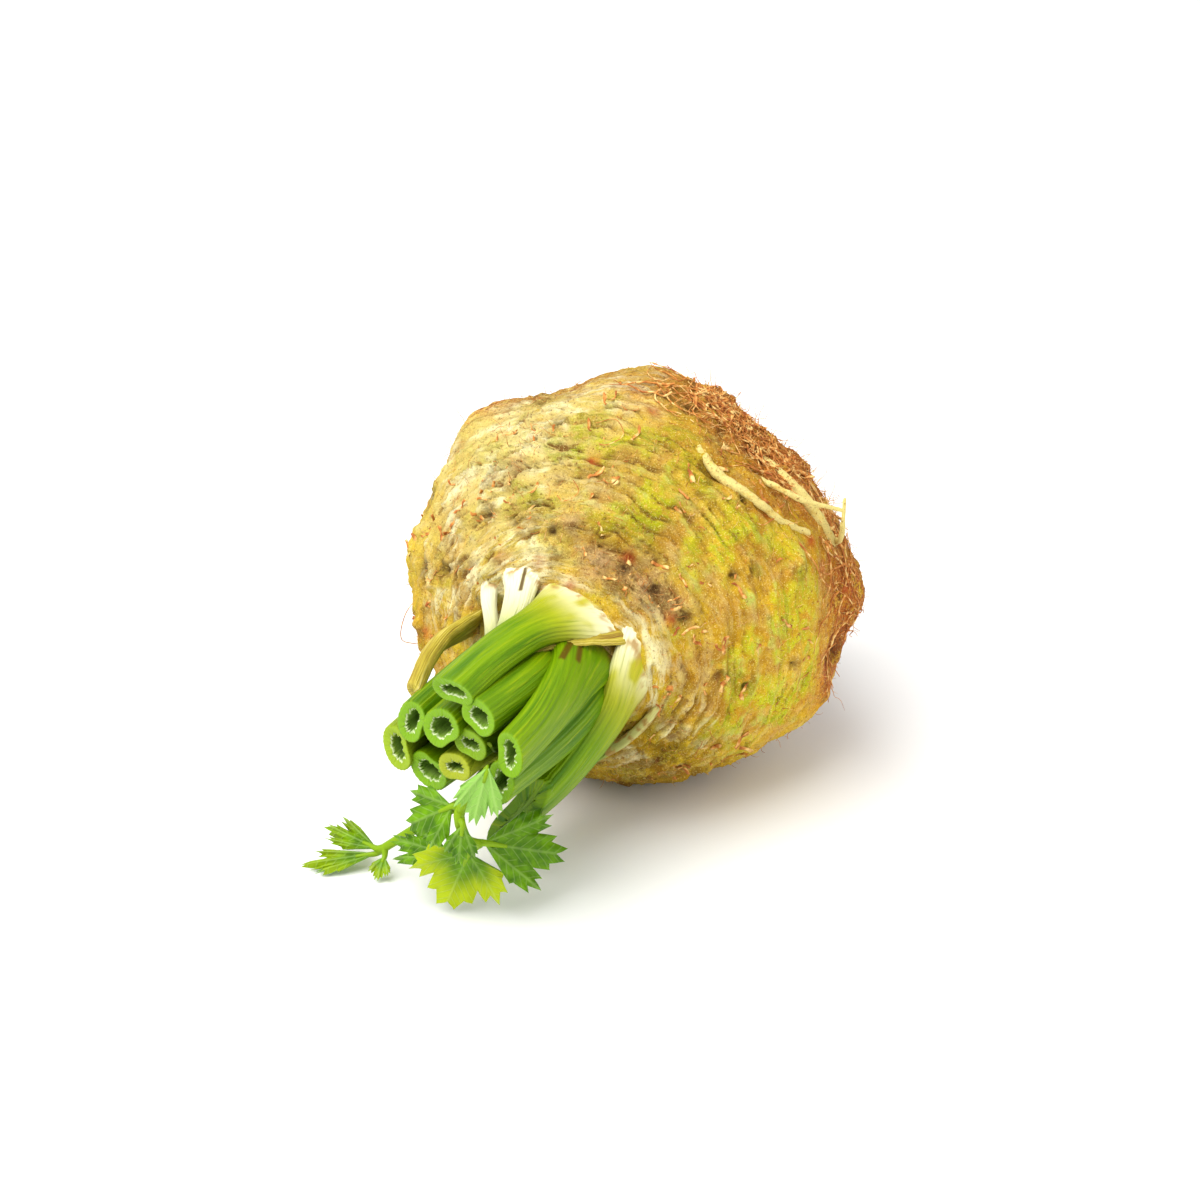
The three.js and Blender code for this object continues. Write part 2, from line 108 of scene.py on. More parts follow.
def bulb_radius(directions):
    """How far the solid's skin lies from the bulb's centre in each direction, in mm."""
    polar = np.degrees(np.arccos(np.clip(directions[:, 2], -1, 1)))
    turn = np.arctan2(directions[:, 1], directions[:, 0])
    wander = 2.6 * np.sin(2 * turn + 0.7) + 1.9 * np.sin(5 * turn + 2.1) + 1.1 * np.sin(11 * turn)
    row, part = np.divmod((polar + wander) / SCAR_STEP, 1)
    around_crown = smooth(polar, 22, 34) * (1 - smooth(polar, 70, 95))
    along = 0.2 + 0.8 * np.cos(4.5 * turn + row * 1.7 + 0.6 * np.sin(2 * turn)) ** 2
    step = np.where(part < 0.7, part / 0.7, (1 - part) / 0.3)
    radius = BULB_RADIUS + SCAR_HEIGHT * around_crown * along * step
    for polar_at, turn_at, height, spread in SWELLINGS:
        radius += height * near(directions, polar_at, turn_at, spread)
    for n in range(ROOT_LUMPS):
        at = (118 + 58 * math.sqrt(1 - n / ROOT_LUMPS), 137.5 * n + 20)
        radius += (2.2 + 3 * chance(n, 1)) * near(directions, *at, 7 + 4 * chance(n, 2))
    root_end = smooth(polar, 95, 150)
    return radius + root_end * 1.3 * np.sin(9 * turn + 3 * np.sin(np.radians(polar * 3)))


def cube_sphere(steps):
    """Unit directions and quads of a cube blown up to a sphere."""
    line = np.arange(steps + 1) * 2 - steps
    a, b = np.meshgrid(line, line, indexing="ij")
    index = np.arange((steps + 1) ** 2).reshape(steps + 1, -1)
    squares = np.stack((index[:-1, :-1], index[1:, :-1], index[1:, 1:], index[:-1, 1:]), -1).reshape(-1, 4)
    corners, quads = [], []
    for axis in range(3):
        for side in (-steps, steps):
            face = np.empty((steps + 1, steps + 1, 3), int)
            face[..., axis], face[..., (axis + 1) % 3], face[..., (axis + 2) % 3] = side, a, b
            quad = squares + len(corners) * (steps + 1) ** 2
            quads.append(quad if side > 0 else quad[:, ::-1])
            corners.append(face.reshape(-1, 3))
    unique, back = np.unique(np.concatenate(corners), axis=0, return_inverse=True)
    bent = np.tan(unique / steps * math.pi / 4)
    return bent / np.linalg.norm(bent, axis=1)[:, None], back.reshape(-1)[np.concatenate(quads)]


def rough(points, size, octaves, offset=0.0):
    """Fractal noise from about -1 to 1 with features of that size in mm."""
    shift = Vector((offset, offset * 0.7, -offset))
    return np.array([noise.fractal(Vector(p) / size + shift, 0.9, 2.1, octaves) for p in points])


def new_object(name, data):
    """An object at the origin that holds a mesh, a curve, a lamp or a camera."""
    made = bpy.data.objects.new(name, data)
    bpy.context.scene.collection.objects.link(made)
    return made


def add_piece(name, points, faces, values, material):
    """A mesh object from points of the plant's frame, with a value at each point for each name in values."""
    mesh = bpy.data.meshes.new(name)
    mesh.from_pydata(laid(points).tolist(), [], [list(map(int, face)) for face in faces])
    for key, data in values.items():
        vector = np.ndim(data) == 2
        attribute = mesh.attributes.new(key, "FLOAT_VECTOR" if vector else "FLOAT", "POINT")
        attribute.data.foreach_set("vector" if vector else "value", np.asarray(data, np.float32).ravel())
    mesh.shade_smooth()
    mesh.materials.append(material)
    piece = new_object(name, mesh)
    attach(piece, "root")
    return piece


def colour(code):
    """An sRGB hex colour as linear red, green, blue and alpha."""
    values = [int(code[n:n + 2], 16) / 255 for n in (1, 3, 5)]
    return [v / 12.92 if v <= 0.04045 else ((v + 0.055) / 1.055) ** 2.4 for v in values] + [1]


def add(tree, kind, settings=None, inputs=None):
    """Adds a node, with its settings, and with a value or a link for each input."""
    node = tree.nodes.new(kind)
    for key, value in (settings or {}).items():
        setattr(node, key, value)
    for key, value in (inputs or {}).items():
        if isinstance(value, bpy.types.NodeSocket):
            tree.links.new(value, node.inputs[key])
        else:
            node.inputs[key].default_value = value
    return node


def between(tree, value, low=0, high=1, first=0, last=1, course="LINEAR"):
    """Goes from first to last while the value goes from low to high."""
    return add(tree, "ShaderNodeMapRange", {"interpolation_type": course},
               {0: value, 1: low, 2: high, 3: first, 4: last}).outputs[0]


def cloud(tree, at, scale, detail, roughness=0.5, distortion=0):
    """A cloudy pattern from 0 to 1, whose features get smaller as the scale grows."""
    return add(tree, "ShaderNodeTexNoise", None, {
        "Vector": at, "Scale": scale, "Detail": detail, "Roughness": roughness,
        "Distortion": distortion}).outputs["Fac"]


def painted_value(tree, name, output="Fac"):
    """The value of that name at each point of the mesh."""
    return add(tree, "ShaderNodeAttribute", {"attribute_name": name}).outputs[output]


def mix(tree, share, under, over):
    """One colour laid over another. Each is a hex code or a socket."""
    under, over = (colour(tone) if isinstance(tone, str) else tone for tone in (under, over))
    return add(tree, "ShaderNodeMix", {"data_type": "RGBA"}, {0: share, 6: under, 7: over}).outputs[2]


def layered(tree, tone, patterns, layers):
    """Lays colours over a tone. Each layer: its colour, the painted value that carries it, the pattern that
    breaks it up, where that pattern starts and ends, and how strong the layer gets."""
    for shade, painted, pattern, low, high, most in layers:
        share = between(tree, patterns[pattern], low, high, 0, most, "SMOOTHSTEP")
        if painted:
            share = add(tree, "ShaderNodeMath", {"operation": "MULTIPLY", "use_clamp": True},
                        {0: painted_value(tree, painted), 1: share}).outputs[0]
        tone = mix(tree, share, tone, shade)
    return tone


def relief(tree, height, strength, depth_mm, under=None, sunk=False):
    """A fine relief from a pattern, on top of the relief under it."""
    inputs = {"Height": height, "Strength": strength, "Distance": depth_mm / 1000}
    if under:
        inputs["Normal"] = under
    return add(tree, "ShaderNodeBump", {"invert": sunk}, inputs).outputs["Normal"]


def new_material(name):
    """A material and its node tree."""
    material = bpy.data.materials.new(name)
    material.use_nodes = True
    return material, material.node_tree


def dress(material, tone, roughness, raised=None, gloss=0.5):
    """Gives a material its colour, its roughness, its relief and the strength of its reflections."""
    tree = material.node_tree
    shader = tree.nodes["Principled BSDF"]
    tree.links.new(tone, shader.inputs["Base Color"])
    shader.inputs["Roughness"].default_value = roughness
    shader.inputs["Specular IOR Level"].default_value = gloss
    if raised:
        tree.links.new(raised, shader.inputs["Normal"])


# Celeriac skin is dry and corky: lime where light reached it, straw yellow and tan between, chalky where it
# is scraped and rusty at the root end. Painted shade darkens each crease, the furrows of the root mat, the
# underside and the middle of the bulb, and a painted highlight lightens its upper left and top. The eye sees
# a matt, mottled, wrinkled skin.
skin, tree = new_material("corky celeriac skin")
place = add(tree, "ShaderNodeTexCoord").outputs["Object"]
FEATURES_PER_METRE = {"blotch": 75, "mottle": 330, "speck": 1100, "grit": 2300}
SKIN_LAYERS = [
    # The straw layer is the straw-yellow skin. On the bulb it lies over the upper left, where it is also a
    # painted highlight.
    ("#e6d588", "straw", "mottle", 0.2, 0.5, 0.85),
    # The ochre layer is a deeper mustard tone and also painted shade over the middle of the bulb.
    ("#a27002", "ochre_and_shade", "mottle", 0.3, 0.58, 0.85),
    ("#cac51c", "lime", "mottle", 0.36, 0.58, 0.9),
    ("#a0ba08", "lime", "streaks", 0.48, 0.62, 0.75),
    # The pale layer is chalky scraped skin, and also a painted highlight on the upper left and the top.
    ("#fbf2bc", "pale", "streaks", 0.4, 0.58, 0.95),
    ("#a87420", None, "streaks", 0.56, 0.7, 0.6),
    ("#c27224", "mat", "mottle", 0.25, 0.55, 0.9),
    ("#cfa873", "crust", "mottle", 0.25, 0.5, 0.95),
    ("#7c5428", "crust", "speck", 0.52, 0.64, 0.7),
    ("#c2601c", "rust", "mottle", 0.33, 0.56, 0.95),
    ("#86300d", "rust", "speck", 0.46, 0.6, 0.85),
    # The crease layer is painted shade: darker in the wrinkle creases, in the furrows of the root mat and on
    # the underside.
    ("#6e4513", "crease", "streaks", 0.28, 0.5, 0.92),
    # The scar layer is brown scars, and also painted shade on the underside and in the wrinkle creases.
    ("#74460f", "scar_and_shade", "mottle", 0.4, 0.58, 0.9),
    ("#84501a", None, "speck", 0.58, 0.66, 0.75),
    ("#f8e98e", None, "grit", 0.55, 0.66, 0.6),
    ("#84601c", None, "grit", 0.44, 0.32, 0.5),
    ("#b5451c", "spot", "speck", 0.2, 0.45, 0.85),
    ("#452a10", "pit", "speck", 0.25, 0.5, 0.9),
]
patterns = {name: cloud(tree, place, scale, 5, 0.66) for name, scale in FEATURES_PER_METRE.items()}
patterns["streaks"] = cloud(tree, painted_value(tree, "grain", "Vector"), 0.42, 6, 0.7, 0.4)
skin_tone = mix(tree, between(tree, patterns["blotch"], 0.4, 0.6), "#dfb922", "#c69018")
skin_tone = layered(tree, skin_tone, patterns, SKIN_LAYERS)
strength = between(tree, painted_value(tree, "calm"), first=1, last=0.35)
raised = None
for name, depth_mm in (("streaks", 2.2), ("mottle", 0.5), ("speck", 0.5), ("grit", 0.25)):
    raised = relief(tree, patterns[name], strength, depth_mm, raised)
dress(skin, skin_tone, 0.7, raised, 0.15)

directions, skin_quads = cube_sphere(SKIN_STEPS)
polar = np.degrees(np.arccos(np.clip(directions[:, 2], -1, 1)))
turn = np.arctan2(directions[:, 1], directions[:, 0])
radius = bulb_radius(directions)
on_skin = directions * radius[:, None]


def spots(*places):
    """Soft spots on the skin, added up. Each: its polar angle, its turn, its spread and its strength."""
    return sum(most * near(directions, polar_at, turn_at, wide) for polar_at, turn_at, wide, most in places)


lumps = rough(on_skin, 13, 3)
bumps = rough(on_skin, 4.5, 3, 9)
fine = rough(on_skin, 1.8, 2, 31)
crown = smooth(polar, 18, 30) * (1 - smooth(polar, 62, 92))
root_mat = np.clip(spots((98, 62, 24, 1), (128, 40, 36, 1)) + smooth(polar, 118, 138), 0, 1)
rusty = spots((100, -14, 13, 1), (92, -21, 7, 0.9), (97, 2, 7, 1), (112, 12, 24, 0.8),
              (92, 40, 14, 0.7), (91, 136, 8, 0.9), (98, 112, 13, 0.7), (84, 88, 5, 0.5))
rusty = np.clip(rusty + 0.8 * smooth(polar, 112, 132), 0, 1)
# Wrinkles wind round the crown. Each rises slowly and drops into a crease, which is painted dark as shade. The
# grain is a place in mm that hardly changes along them, so a pattern laid on it is drawn out that way.
MM_PER_DEGREE = 1.01
GRAIN_RADIUS = 13
WRINKLE_STEP = 3.8
WRINKLE_CREST = 0.8
across_grain = polar * MM_PER_DEGREE + 1.8 * lumps + 1.5 * np.sin(turn)
round_grain = np.column_stack((np.cos(turn), np.sin(turn)))
round_grain *= (np.sin(np.radians(polar)) * GRAIN_RADIUS)[:, None]
flow = rough(np.column_stack((round_grain, across_grain)), 4.4, 4, 57)
wrinkle = (across_grain / WRINKLE_STEP + 0.65 * flow) % 1
ridge = np.where(wrinkle < WRINKLE_CREST, wrinkle / WRINKLE_CREST, (1 - wrinkle) / (1 - WRINKLE_CREST))
wrinkled = smooth(rough(on_skin, 9, 2, 77), -0.35, 0.2) * (0.25 + 0.75 * crown) * (1 - root_mat)
wrinkled = np.maximum(wrinkled, near(directions, 42, -55, 20))
wrinkled *= 1 + 0.5 * near(directions, 58, 118, 26) - 0.8 * near(directions, 66, 12, 32)
crease = 1 - smooth(ridge, 0.03, 0.3)
folds = np.clip(1 - np.abs(flow) * 3.2, -1, 1)
furrows = 1 - np.abs(rough(on_skin, 7, 4, 57))
# Pits are small round holes with a raised rim, where side roots broke or insects fed. The skin is shared
# into cells at random: some have a pit and a few others have a red spot.
CELL_SIZE = 8.5
PIT_SHARE = 0.36
SPOT_SHARE = 0.1
cell = [noise.voronoi(Vector(p) / CELL_SIZE) for p in on_skin]
nearest = np.array([c[0][0] for c in cell])
lot = np.array([(c[1][0].x * 37.7 + c[1][0].y * 17.3 + c[1][0].z * 71.9) % 1 for c in cell])
pit_size = 0.08 + 0.13 * ((lot * 7.3) % 1)
pit = np.where(lot < PIT_SHARE, np.exp(-((nearest / pit_size) ** 2)), 0)
pit_rim = np.where(lot < PIT_SHARE, np.exp(-(((nearest - 1.8 * pit_size) / (0.7 * pit_size)) ** 2)), 0)
red_spot = np.where(lot > 1 - SPOT_SHARE, np.exp(-((nearest / 0.22) ** 2)), 0)
BIG_PITS = [(31, 58, 1.6), (33, 40, 1.8), (36, 22, 1.7), (34, 100, 1.3), (74, 158, 2.2), (57, 172, 2),
            (53, 28, 1.2)]
for polar_at, turn_at, wide in BIG_PITS:
    pit = np.maximum(pit, near(directions, polar_at, turn_at, wide))
    pit_rim = np.maximum(pit_rim, 0.8 * near(directions, polar_at, turn_at, 2 * wide) - pit)
hollow = spots((96, -16, 6.5, 1), (70, 56, 4, 0.6))
CRUSTS = [(32, 47, 6.5, 0.9), (29, 72, 5, 0.9), (35, 30, 4.5, 0.8), (37, 92, 4.5, 0.6), (54, 117, 5, 0.5)]
crust = np.clip(spots(*CRUSTS) + 0.35 * bumps, 0, 1)
crust_rims = [(polar_at, turn_at, 1.5 * wide, 1) for polar_at, turn_at, wide, most in CRUSTS]
crust *= np.clip(spots(*crust_rims), 0, 1)
# One long root runs under the skin in front of the root mat and lifts a sharp ridge.
degrees_round = np.degrees(turn)
long_ridge = np.exp(-((polar - 71 - 5 * np.cos(np.radians(2.4 * (degrees_round - 40)))) / 1.6) ** 2)
long_ridge *= smooth(degrees_round, 12, 25) * (1 - smooth(degrees_round, 62, 80))
radius += (0.8 * lumps + 0.45 * bumps + 0.2 * fine + wrinkled * (2.1 * (ridge - 0.5) + 0.5 * folds)
           + root_mat * (2.4 * (furrows - 0.75) + 0.9 * bumps) - 1.5 * pit + 0.5 * pit_rim
           + crust * (0.6 + 0.9 * bumps + 0.6 * fine) + 0.9 * long_ridge - 1.6 * hollow)
on_skin = directions * radius[:, None]
on_skin[:, 1] = np.maximum(on_skin[:, 1], -CENTRE_HEIGHT)
# What is painted on the skin, as a value from 0 to 1 at each point.
lime = 0.35 + spots((72, -8, 26, 1), (58, 18, 22, 1), (60, 84, 18, 0.8), (63, 58, 18, 0.7),
                    (62, -30, 14, 0.5), (50, 100, 14, 0.4))
lime *= (1 - rusty) * (1 - 0.8 * root_mat) * (1 - crust) * smooth(lumps + 0.6 * bumps, -0.4, 0.5)
lime *= 1 - 0.75 * near(directions, 62, 160, 26)
# Pale: chalky scraped skin, paler on the wrinkle crests. Its last two spots are a painted highlight on the
# upper left and the top.
pale = 0.2 + spots((40, 158, 17, 1), (34, 112, 13, 1), (88, 104, 14, 1), (38, -50, 15, 1),
                   (62, 150, 24, 0.55), (68, 122, 22, 0.8), (90, 96, 15, 0.9))
pale *= smooth(-lumps + 0.5 * bumps, -0.4, 0.45) * (0.35 + 0.65 * smooth(ridge, 0.3, 0.8)) * (1 - crust)
# A deeper mustard tone that is also painted shade over the middle of the bulb.
ochre_and_shade = spots((40, 66, 20, 0.95), (64, 8, 28, 0.75), (44, -22, 17, 0.9), (44, -50, 12, 0.5))
# Painted shade: the skin is darker towards its underside, which faces the table.
underside_shade = smooth(-directions[:, 1], 0.5, 0.95)
# Brown scars by the crusts, pit rims, root mat ridges and round the crown, with painted shade on the underside
# and in the wrinkle creases.
scar_and_shade = 0.12 * crust + 0.6 * root_mat * smooth(furrows, 0.62, 0.9) + 0.6 * pit_rim + 0.4 * underside_shade
scar_and_shade += spots((45, -52, 14, 0.65), (94, 119, 10, 0.7))
scar_and_shade += 0.7 * near(directions, 30, 100, 8) * smooth(fine, -0.2, 0.3)
scar_and_shade += 0.5 * near(directions, 38, 160, 16) * smooth(fine, 0, 0.4)
scar_and_shade += 0.5 * wrinkled * crease * smooth(bumps, -0.4, 0.4)
# Painted shade, carried by the crease value: dark in the wrinkle creases, in the low furrows of the root mat
# and towards the underside.
dark = wrinkled * crease + 0.8 * root_mat * (1 - smooth(furrows, 0.5, 0.75)) + 0.25 * underside_shade
bulb_piece = add_piece("bulb_skin", on_skin, skin_quads, {
    "lime": np.clip(lime, 0, 1),
    # Straw tone over the upper left, which is also a painted highlight there.
    "straw": np.clip(spots((66, 122, 36, 1), (45, 50, 20, 0.1)), 0, 1),
    "ochre_and_shade": np.clip(ochre_and_shade, 0, 1),
    "pale": np.clip(pale, 0, 1),
    "crust": crust,
    "rust": np.clip(0.9 * rusty + 0.9 * hollow, 0, 1),
    "mat": root_mat,
    "calm": np.clip(spots((66, 0, 34, 1), (80, -40, 25, 1)), 0, 1),
    "crease": np.clip(dark, 0, 1),
    "scar_and_shade": np.clip(scar_and_shade, 0, 1),
    "spot": red_spot,
    "pit": np.clip(1.2 * pit + 0.7 * near(directions, 96, -16, 6), 0, 1),
    "grain": np.column_stack((round_grain, across_grain)),
    "hairy": np.clip(0.12 + 0.55 * root_mat + 0.6 * crust, 0, 1) * (np.abs(on_skin[:, 1] - 1) < 52),
    "flaky": np.clip(crown * 0.7 + crust + 0.3 * root_mat, 0, 1) * (on_skin[:, 1] > -52) * (polar > 26),
}, skin)
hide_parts("bulb")

# Side roots lie along the skin or stand off it, and the root end bristles with thick roots that were
# trimmed short when the celeriac was cleaned. They are tan and woody. Curves follow the skin and a node
# tree gives them their round section, their taper and their knots.
STUBS = 30
STUB_TAPER = 0.62
TO_VIEWER = np.array((0.35, 0.42, 0.84))
# Each side root: points of its path as polar angle, turn and height over the skin, and its end radii.
SIDE_ROOTS = [
    ([(72, 66, -1), (69, 55, 0.4), (70, 43, 0.6), (75, 33, 0.4), (83, 25, -0.2), (90, 21, -2)], 1.5, 0.9),
    ([(80, 47, -2), (79, 41, 2.2), (81, 35, 5), (88, 27, 11)], 1.1, 0.6),
    ([(103, 16, -2), (97, 17, 2.5), (93, 22, 6.5), (95, 28, 10)], 1.1, 0.4),
    ([(100, 52, -3), (93, 41, -0.2), (92, 31, 0.6), (96, 20, 0.2), (103, 12, -3)], 2, 1.5),
]


def on_bulb(path):
    """Points of the plant's frame from polar, turn and height over the skin."""
    places = np.array(path, float)
    out = towards(places[:, 0], places[:, 1])
    return out * (bulb_radius(out) + places[:, 2])[:, None]


# Stubs fill the root end, but none stands on the table's side or on the side that faces the viewer.
stub_roots = []
for n in range(STUBS):
    at, around = 120 + 54 * math.sqrt(1 - (n + 0.5) / STUBS), 137.5 * n + 75
    reach, bend, thick = 4 + 6 * chance(n, 3), 9 * (chance(n, 4) - 0.5), 3.2 + 2 * chance(n, 5)
    foot = towards(at, around)
    if foot[1] > -0.72 and foot @ TO_VIEWER < -0.63:
        route = [(at, around, -7), (at + 1, around, 0), (at + 2 + bend / 3, around + bend, reach)]
        stub_roots.append((route, thick, thick * STUB_TAPER))


def curve_object(name, routes):
    """A curve object. Each route is a list of points of the plant's frame and its end radii in mm."""
    curve = bpy.data.curves.new(name, "CURVE")
    curve.dimensions = "3D"
    for line, thick, thin in routes:
        spline = curve.splines.new("POLY")
        spline.points.add(len(line) - 1)
        for point, place_at, share in zip(spline.points, laid(line), np.linspace(0, 1, len(line))):
            point.co = (*place_at, 1)
            point.radius = (thick + (thin - thick) * share) / 1000
    return new_object(name, curve)


def smooth_path(path, evenness=0.5, steps=40):
    """A smooth line through the points of a path, each stretch in equal steps."""
    path = np.array(path, float)
    knots = np.vstack((2 * path[0] - path[1], path, 2 * path[-1] - path[-2]))
    t = np.linspace(0, 1, steps, endpoint=False)[:, None]
    line = []
    for a, b, c, d in zip(knots, knots[1:], knots[2:], knots[3:]):
        ab, bc, cd = (np.linalg.norm(step) ** evenness for step in (b - a, c - b, d - c))
        leave = ((b - a) / ab - (c - a) / (ab + bc) + (c - b) / bc) * bc
        arrive = ((c - b) / bc - (d - b) / (bc + cd) + (d - c) / cd) * bc
        line.append(b + leave * t + (3 * (c - b) - 2 * leave - arrive) * t ** 2
                    + (2 * (b - c) + leave + arrive) * t ** 3)
    return np.vstack(line + [path[-1:]])


def new_tree(name, sizes):
    """An empty Geometry Nodes tree with a named input for each size."""
    tree = bpy.data.node_groups.new(name, "GeometryNodeTree")
    tree.interface.new_socket("Geometry", in_out="INPUT", socket_type="NodeSocketGeometry")
    tree.interface.new_socket("Geometry", in_out="OUTPUT", socket_type="NodeSocketGeometry")
    for size in sizes:
        tree.interface.new_socket(size, in_out="INPUT", socket_type="NodeSocketFloat")
    return tree, tree.nodes.new("NodeGroupInput").outputs


def maths(tree, operation, *values):
    """The result of one operation on numbers or sockets."""
    return add(tree, "ShaderNodeMath", {"operation": operation}, dict(enumerate(values))).outputs[0]


def scaled(tree, vector, amount):
    """The vector, made longer by the amount."""
    return add(tree, "ShaderNodeVectorMath", {"operation": "SCALE"}, {0: vector, "Scale": amount}).outputs[0]


def moved(tree, shape, offset):
    """The shape with each of its points moved by the offset."""
    return add(tree, "GeometryNodeSetPosition", None, {0: shape, "Offset": offset}).outputs[0]


def tube(tree, line, sides, radius):
    """A closed round tube along a curve."""
    section = add(tree, "GeometryNodeCurvePrimitiveCircle", None, {"Resolution": sides, "Radius": 1})
    return add(tree, "GeometryNodeCurveToMesh", None, {
        0: line, 1: section.outputs[0], "Scale": radius, "Fill Caps": True}).outputs[0]


def finish_tree(tree, geometry, material):
    """Ends a tree with plain smooth geometry in that material."""
    solid = add(tree, "GeometryNodeRealizeInstances", None, {0: geometry}).outputs[0]
    solid = add(tree, "GeometryNodeSetShadeSmooth", None, {0: solid}).outputs[0]
    done = add(tree, "GeometryNodeSetMaterial", None, {"Geometry": solid, "Material": material}).outputs[0]
    add(tree, "NodeGroupOutput", None, {0: done})


def grown(name, source, tree, sizes):
    """The plain mesh that a tree grows on the source object, as a piece of its own."""
    modifier = source.modifiers.new("grow", "NODES")
    modifier.node_group = tree
    for item in tree.interface.items_tree:
        if item.name in sizes:
            modifier[item.identifier] = float(sizes[item.name])
    made = bpy.data.meshes.new_from_object(source.evaluated_get(bpy.context.evaluated_depsgraph_get()))
    source.modifiers.remove(modifier)
    piece = new_object(name, made)
    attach(piece, "root")
    return piece


# Root bark is a dry fibrous skin, so it is matt, with fine dark checks along it and tan to rusty patches.
bark, tree = new_material("woody root bark")
place = add(tree, "ShaderNodeTexCoord").outputs["Object"]
checks = cloud(tree, place, 900, 3)
tone = mix(tree, between(tree, cloud(tree, place, 140, 4), 0.35, 0.62), "#cfa156", "#96642a")
tone = mix(tree, between(tree, checks, 0.55, 0.7, 0, 0.8), tone, "#5f3f18")
dress(bark, tone, 0.75, relief(tree, checks, 0.8, 0.6))

root_tree, size = new_tree("roots along curves", ["Step", "Sides", "Knot height", "Knots per metre"])
even = add(root_tree, "GeometryNodeResampleCurve", {"mode": "LENGTH"}, {
    0: size["Geometry"], "Length": size["Step"]}).outputs[0]
round_root = tube(root_tree, even, size["Sides"], add(root_tree, "GeometryNodeInputRadius").outputs[0])
knots = add(root_tree, "ShaderNodeTexNoise", None, {"Scale": size["Knots per metre"], "Detail": 3}).outputs[0]
height = maths(root_tree, "MULTIPLY", maths(root_tree, "SUBTRACT", knots, 0.5), size["Knot height"])
outward = add(root_tree, "GeometryNodeInputNormal").outputs[0]
finish_tree(root_tree, moved(root_tree, round_root, scaled(root_tree, outward, height)), bark)


def roots_along(name, routes, sizes):
    """Roots along routes over the skin. Each route: its path and its end radii in mm."""
    lines = [(smooth_path(on_bulb(path)), *radii) for path, *radii in routes]
    source = curve_object(name + "_routes", lines)
    roots = grown(name, source, root_tree, sizes)
    bpy.data.objects.remove(source)
    return roots


ROOT_SIZES = {"Step": 0.0008, "Sides": 14, "Knots per metre": 330}
side_roots = roots_along("side_roots", SIDE_ROOTS, {**ROOT_SIZES, "Knot height": 0.0014})
roots_along("root_stubs", stub_roots, {**ROOT_SIZES, "Knot height": 0.0036})
# The long side roots still have the straw-coloured skin of the bulb.
side_roots.data.materials[0] = skin
straw = side_roots.data.attributes.new("straw", "FLOAT", "POINT")
straw.data.foreach_set("value", [1] * len(side_roots.data.vertices))


# Root hairs and torn fibres: a fuzz of fine tan threads, thickest on the root mat. Each is a few
# millimetres long and stands at random in its own curl. A real one is thinner than a pixel, so they are
# drawn at 0.2 to 0.3 mm.
def scattered(tree, size, painted, density, lean, shares, seed):
    """Random points of the skin, with the stance and the share of the full size of what grows there."""
    where = add(tree, "GeometryNodeInputNamedAttribute", None, {"Name": painted}).outputs[0]
    points = add(tree, "GeometryNodeDistributePointsOnFaces", None, {
        "Mesh": size["Geometry"], "Density": maths(tree, "MULTIPLY", where, size[density]), "Seed": seed})
    stance = add(tree, "FunctionNodeRandomValue", {"data_type": "FLOAT_VECTOR"}, {
        0: (-lean[0], -lean[1], 0), 1: (*lean, 2 * math.pi), "Seed": seed + 1}).outputs[0]
    stance = add(tree, "FunctionNodeEulerToRotation", None, {0: stance}).outputs[0]
    stance = add(tree, "FunctionNodeRotateRotation", {"rotation_space": "LOCAL"}, {
        0: points.outputs["Rotation"], 1: stance}).outputs[0]
    share = add(tree, "FunctionNodeRandomValue", None, {2: shares[0], 3: shares[1], "Seed": seed + 2})
    return points.outputs[0], stance, share.outputs[1]


def planted(tree, points, thing, stance, scale):
    """A copy of the thing on each point, as plain geometry."""
    copies = add(tree, "GeometryNodeInstanceOnPoints", None, {
        "Points": points, "Instance": thing, "Rotation": stance, "Scale": scale}).outputs[0]
    return add(tree, "GeometryNodeRealizeInstances", None, {0: copies}).outputs[0]


def crinkled(tree, shape, waves_per_metre, detail, most):
    """The shape with its points moved at random, by up to half of most each way."""
    wave = add(tree, "ShaderNodeTexNoise", None, {"Scale": waves_per_metre, "Detail": detail})
    centred = add(tree, "ShaderNodeVectorMath", {"operation": "SUBTRACT"}, {
        0: wave.outputs["Color"], 1: (0.5, 0.5, 0.5)}).outputs[0]
    return moved(tree, shape, scaled(tree, centred, most))


def add_hairs(name, material, sizes, seed, segments):
    """Curled hairs on the bulb, as many as its painted value hairy says."""
    tree, size = new_tree(name, ["Hairs per square metre", "Length", "Radius", "Curl", "Curls per metre"])
    points, stance, share = scattered(
        tree, size, "hairy", "Hairs per square metre", (1.35, 1.35), (0.35, 1.3), seed)
    line = add(tree, "GeometryNodeCurvePrimitiveLine", None, {"Start": (0, 0, -0.08), "End": (0, 0, 1)})
    line = add(tree, "GeometryNodeResampleCurve", None, {0: line.outputs[0], "Count": segments + 1})
    length = maths(tree, "MULTIPLY", share, size["Length"])
    hairs = planted(tree, points, line.outputs[0], stance, length)
    along = add(tree, "GeometryNodeSplineParameter").outputs["Factor"]
    curl = maths(tree, "MULTIPLY", along, size["Curl"])
    hairs = crinkled(tree, hairs, size["Curls per metre"], 1, curl)
    thick = maths(tree, "MULTIPLY", between(tree, along, first=1, last=0.4), size["Radius"])
    finish_tree(tree, tube(tree, hairs, 3, thick), material)
    grown(name, bulb_piece, tree, sizes)


def colour_ramp(tree, value, stops):
    """A colour for each value. Each stop: a value and its hex code."""
    ramp = add(tree, "ShaderNodeValToRGB", None, {0: value})
    elements = ramp.color_ramp.elements
    for number, (at, shade) in enumerate(stops):
        element = elements[number] if number < 2 else elements.new(at)
        element.position, element.color = at, colour(shade)
    return ramp.outputs[0]


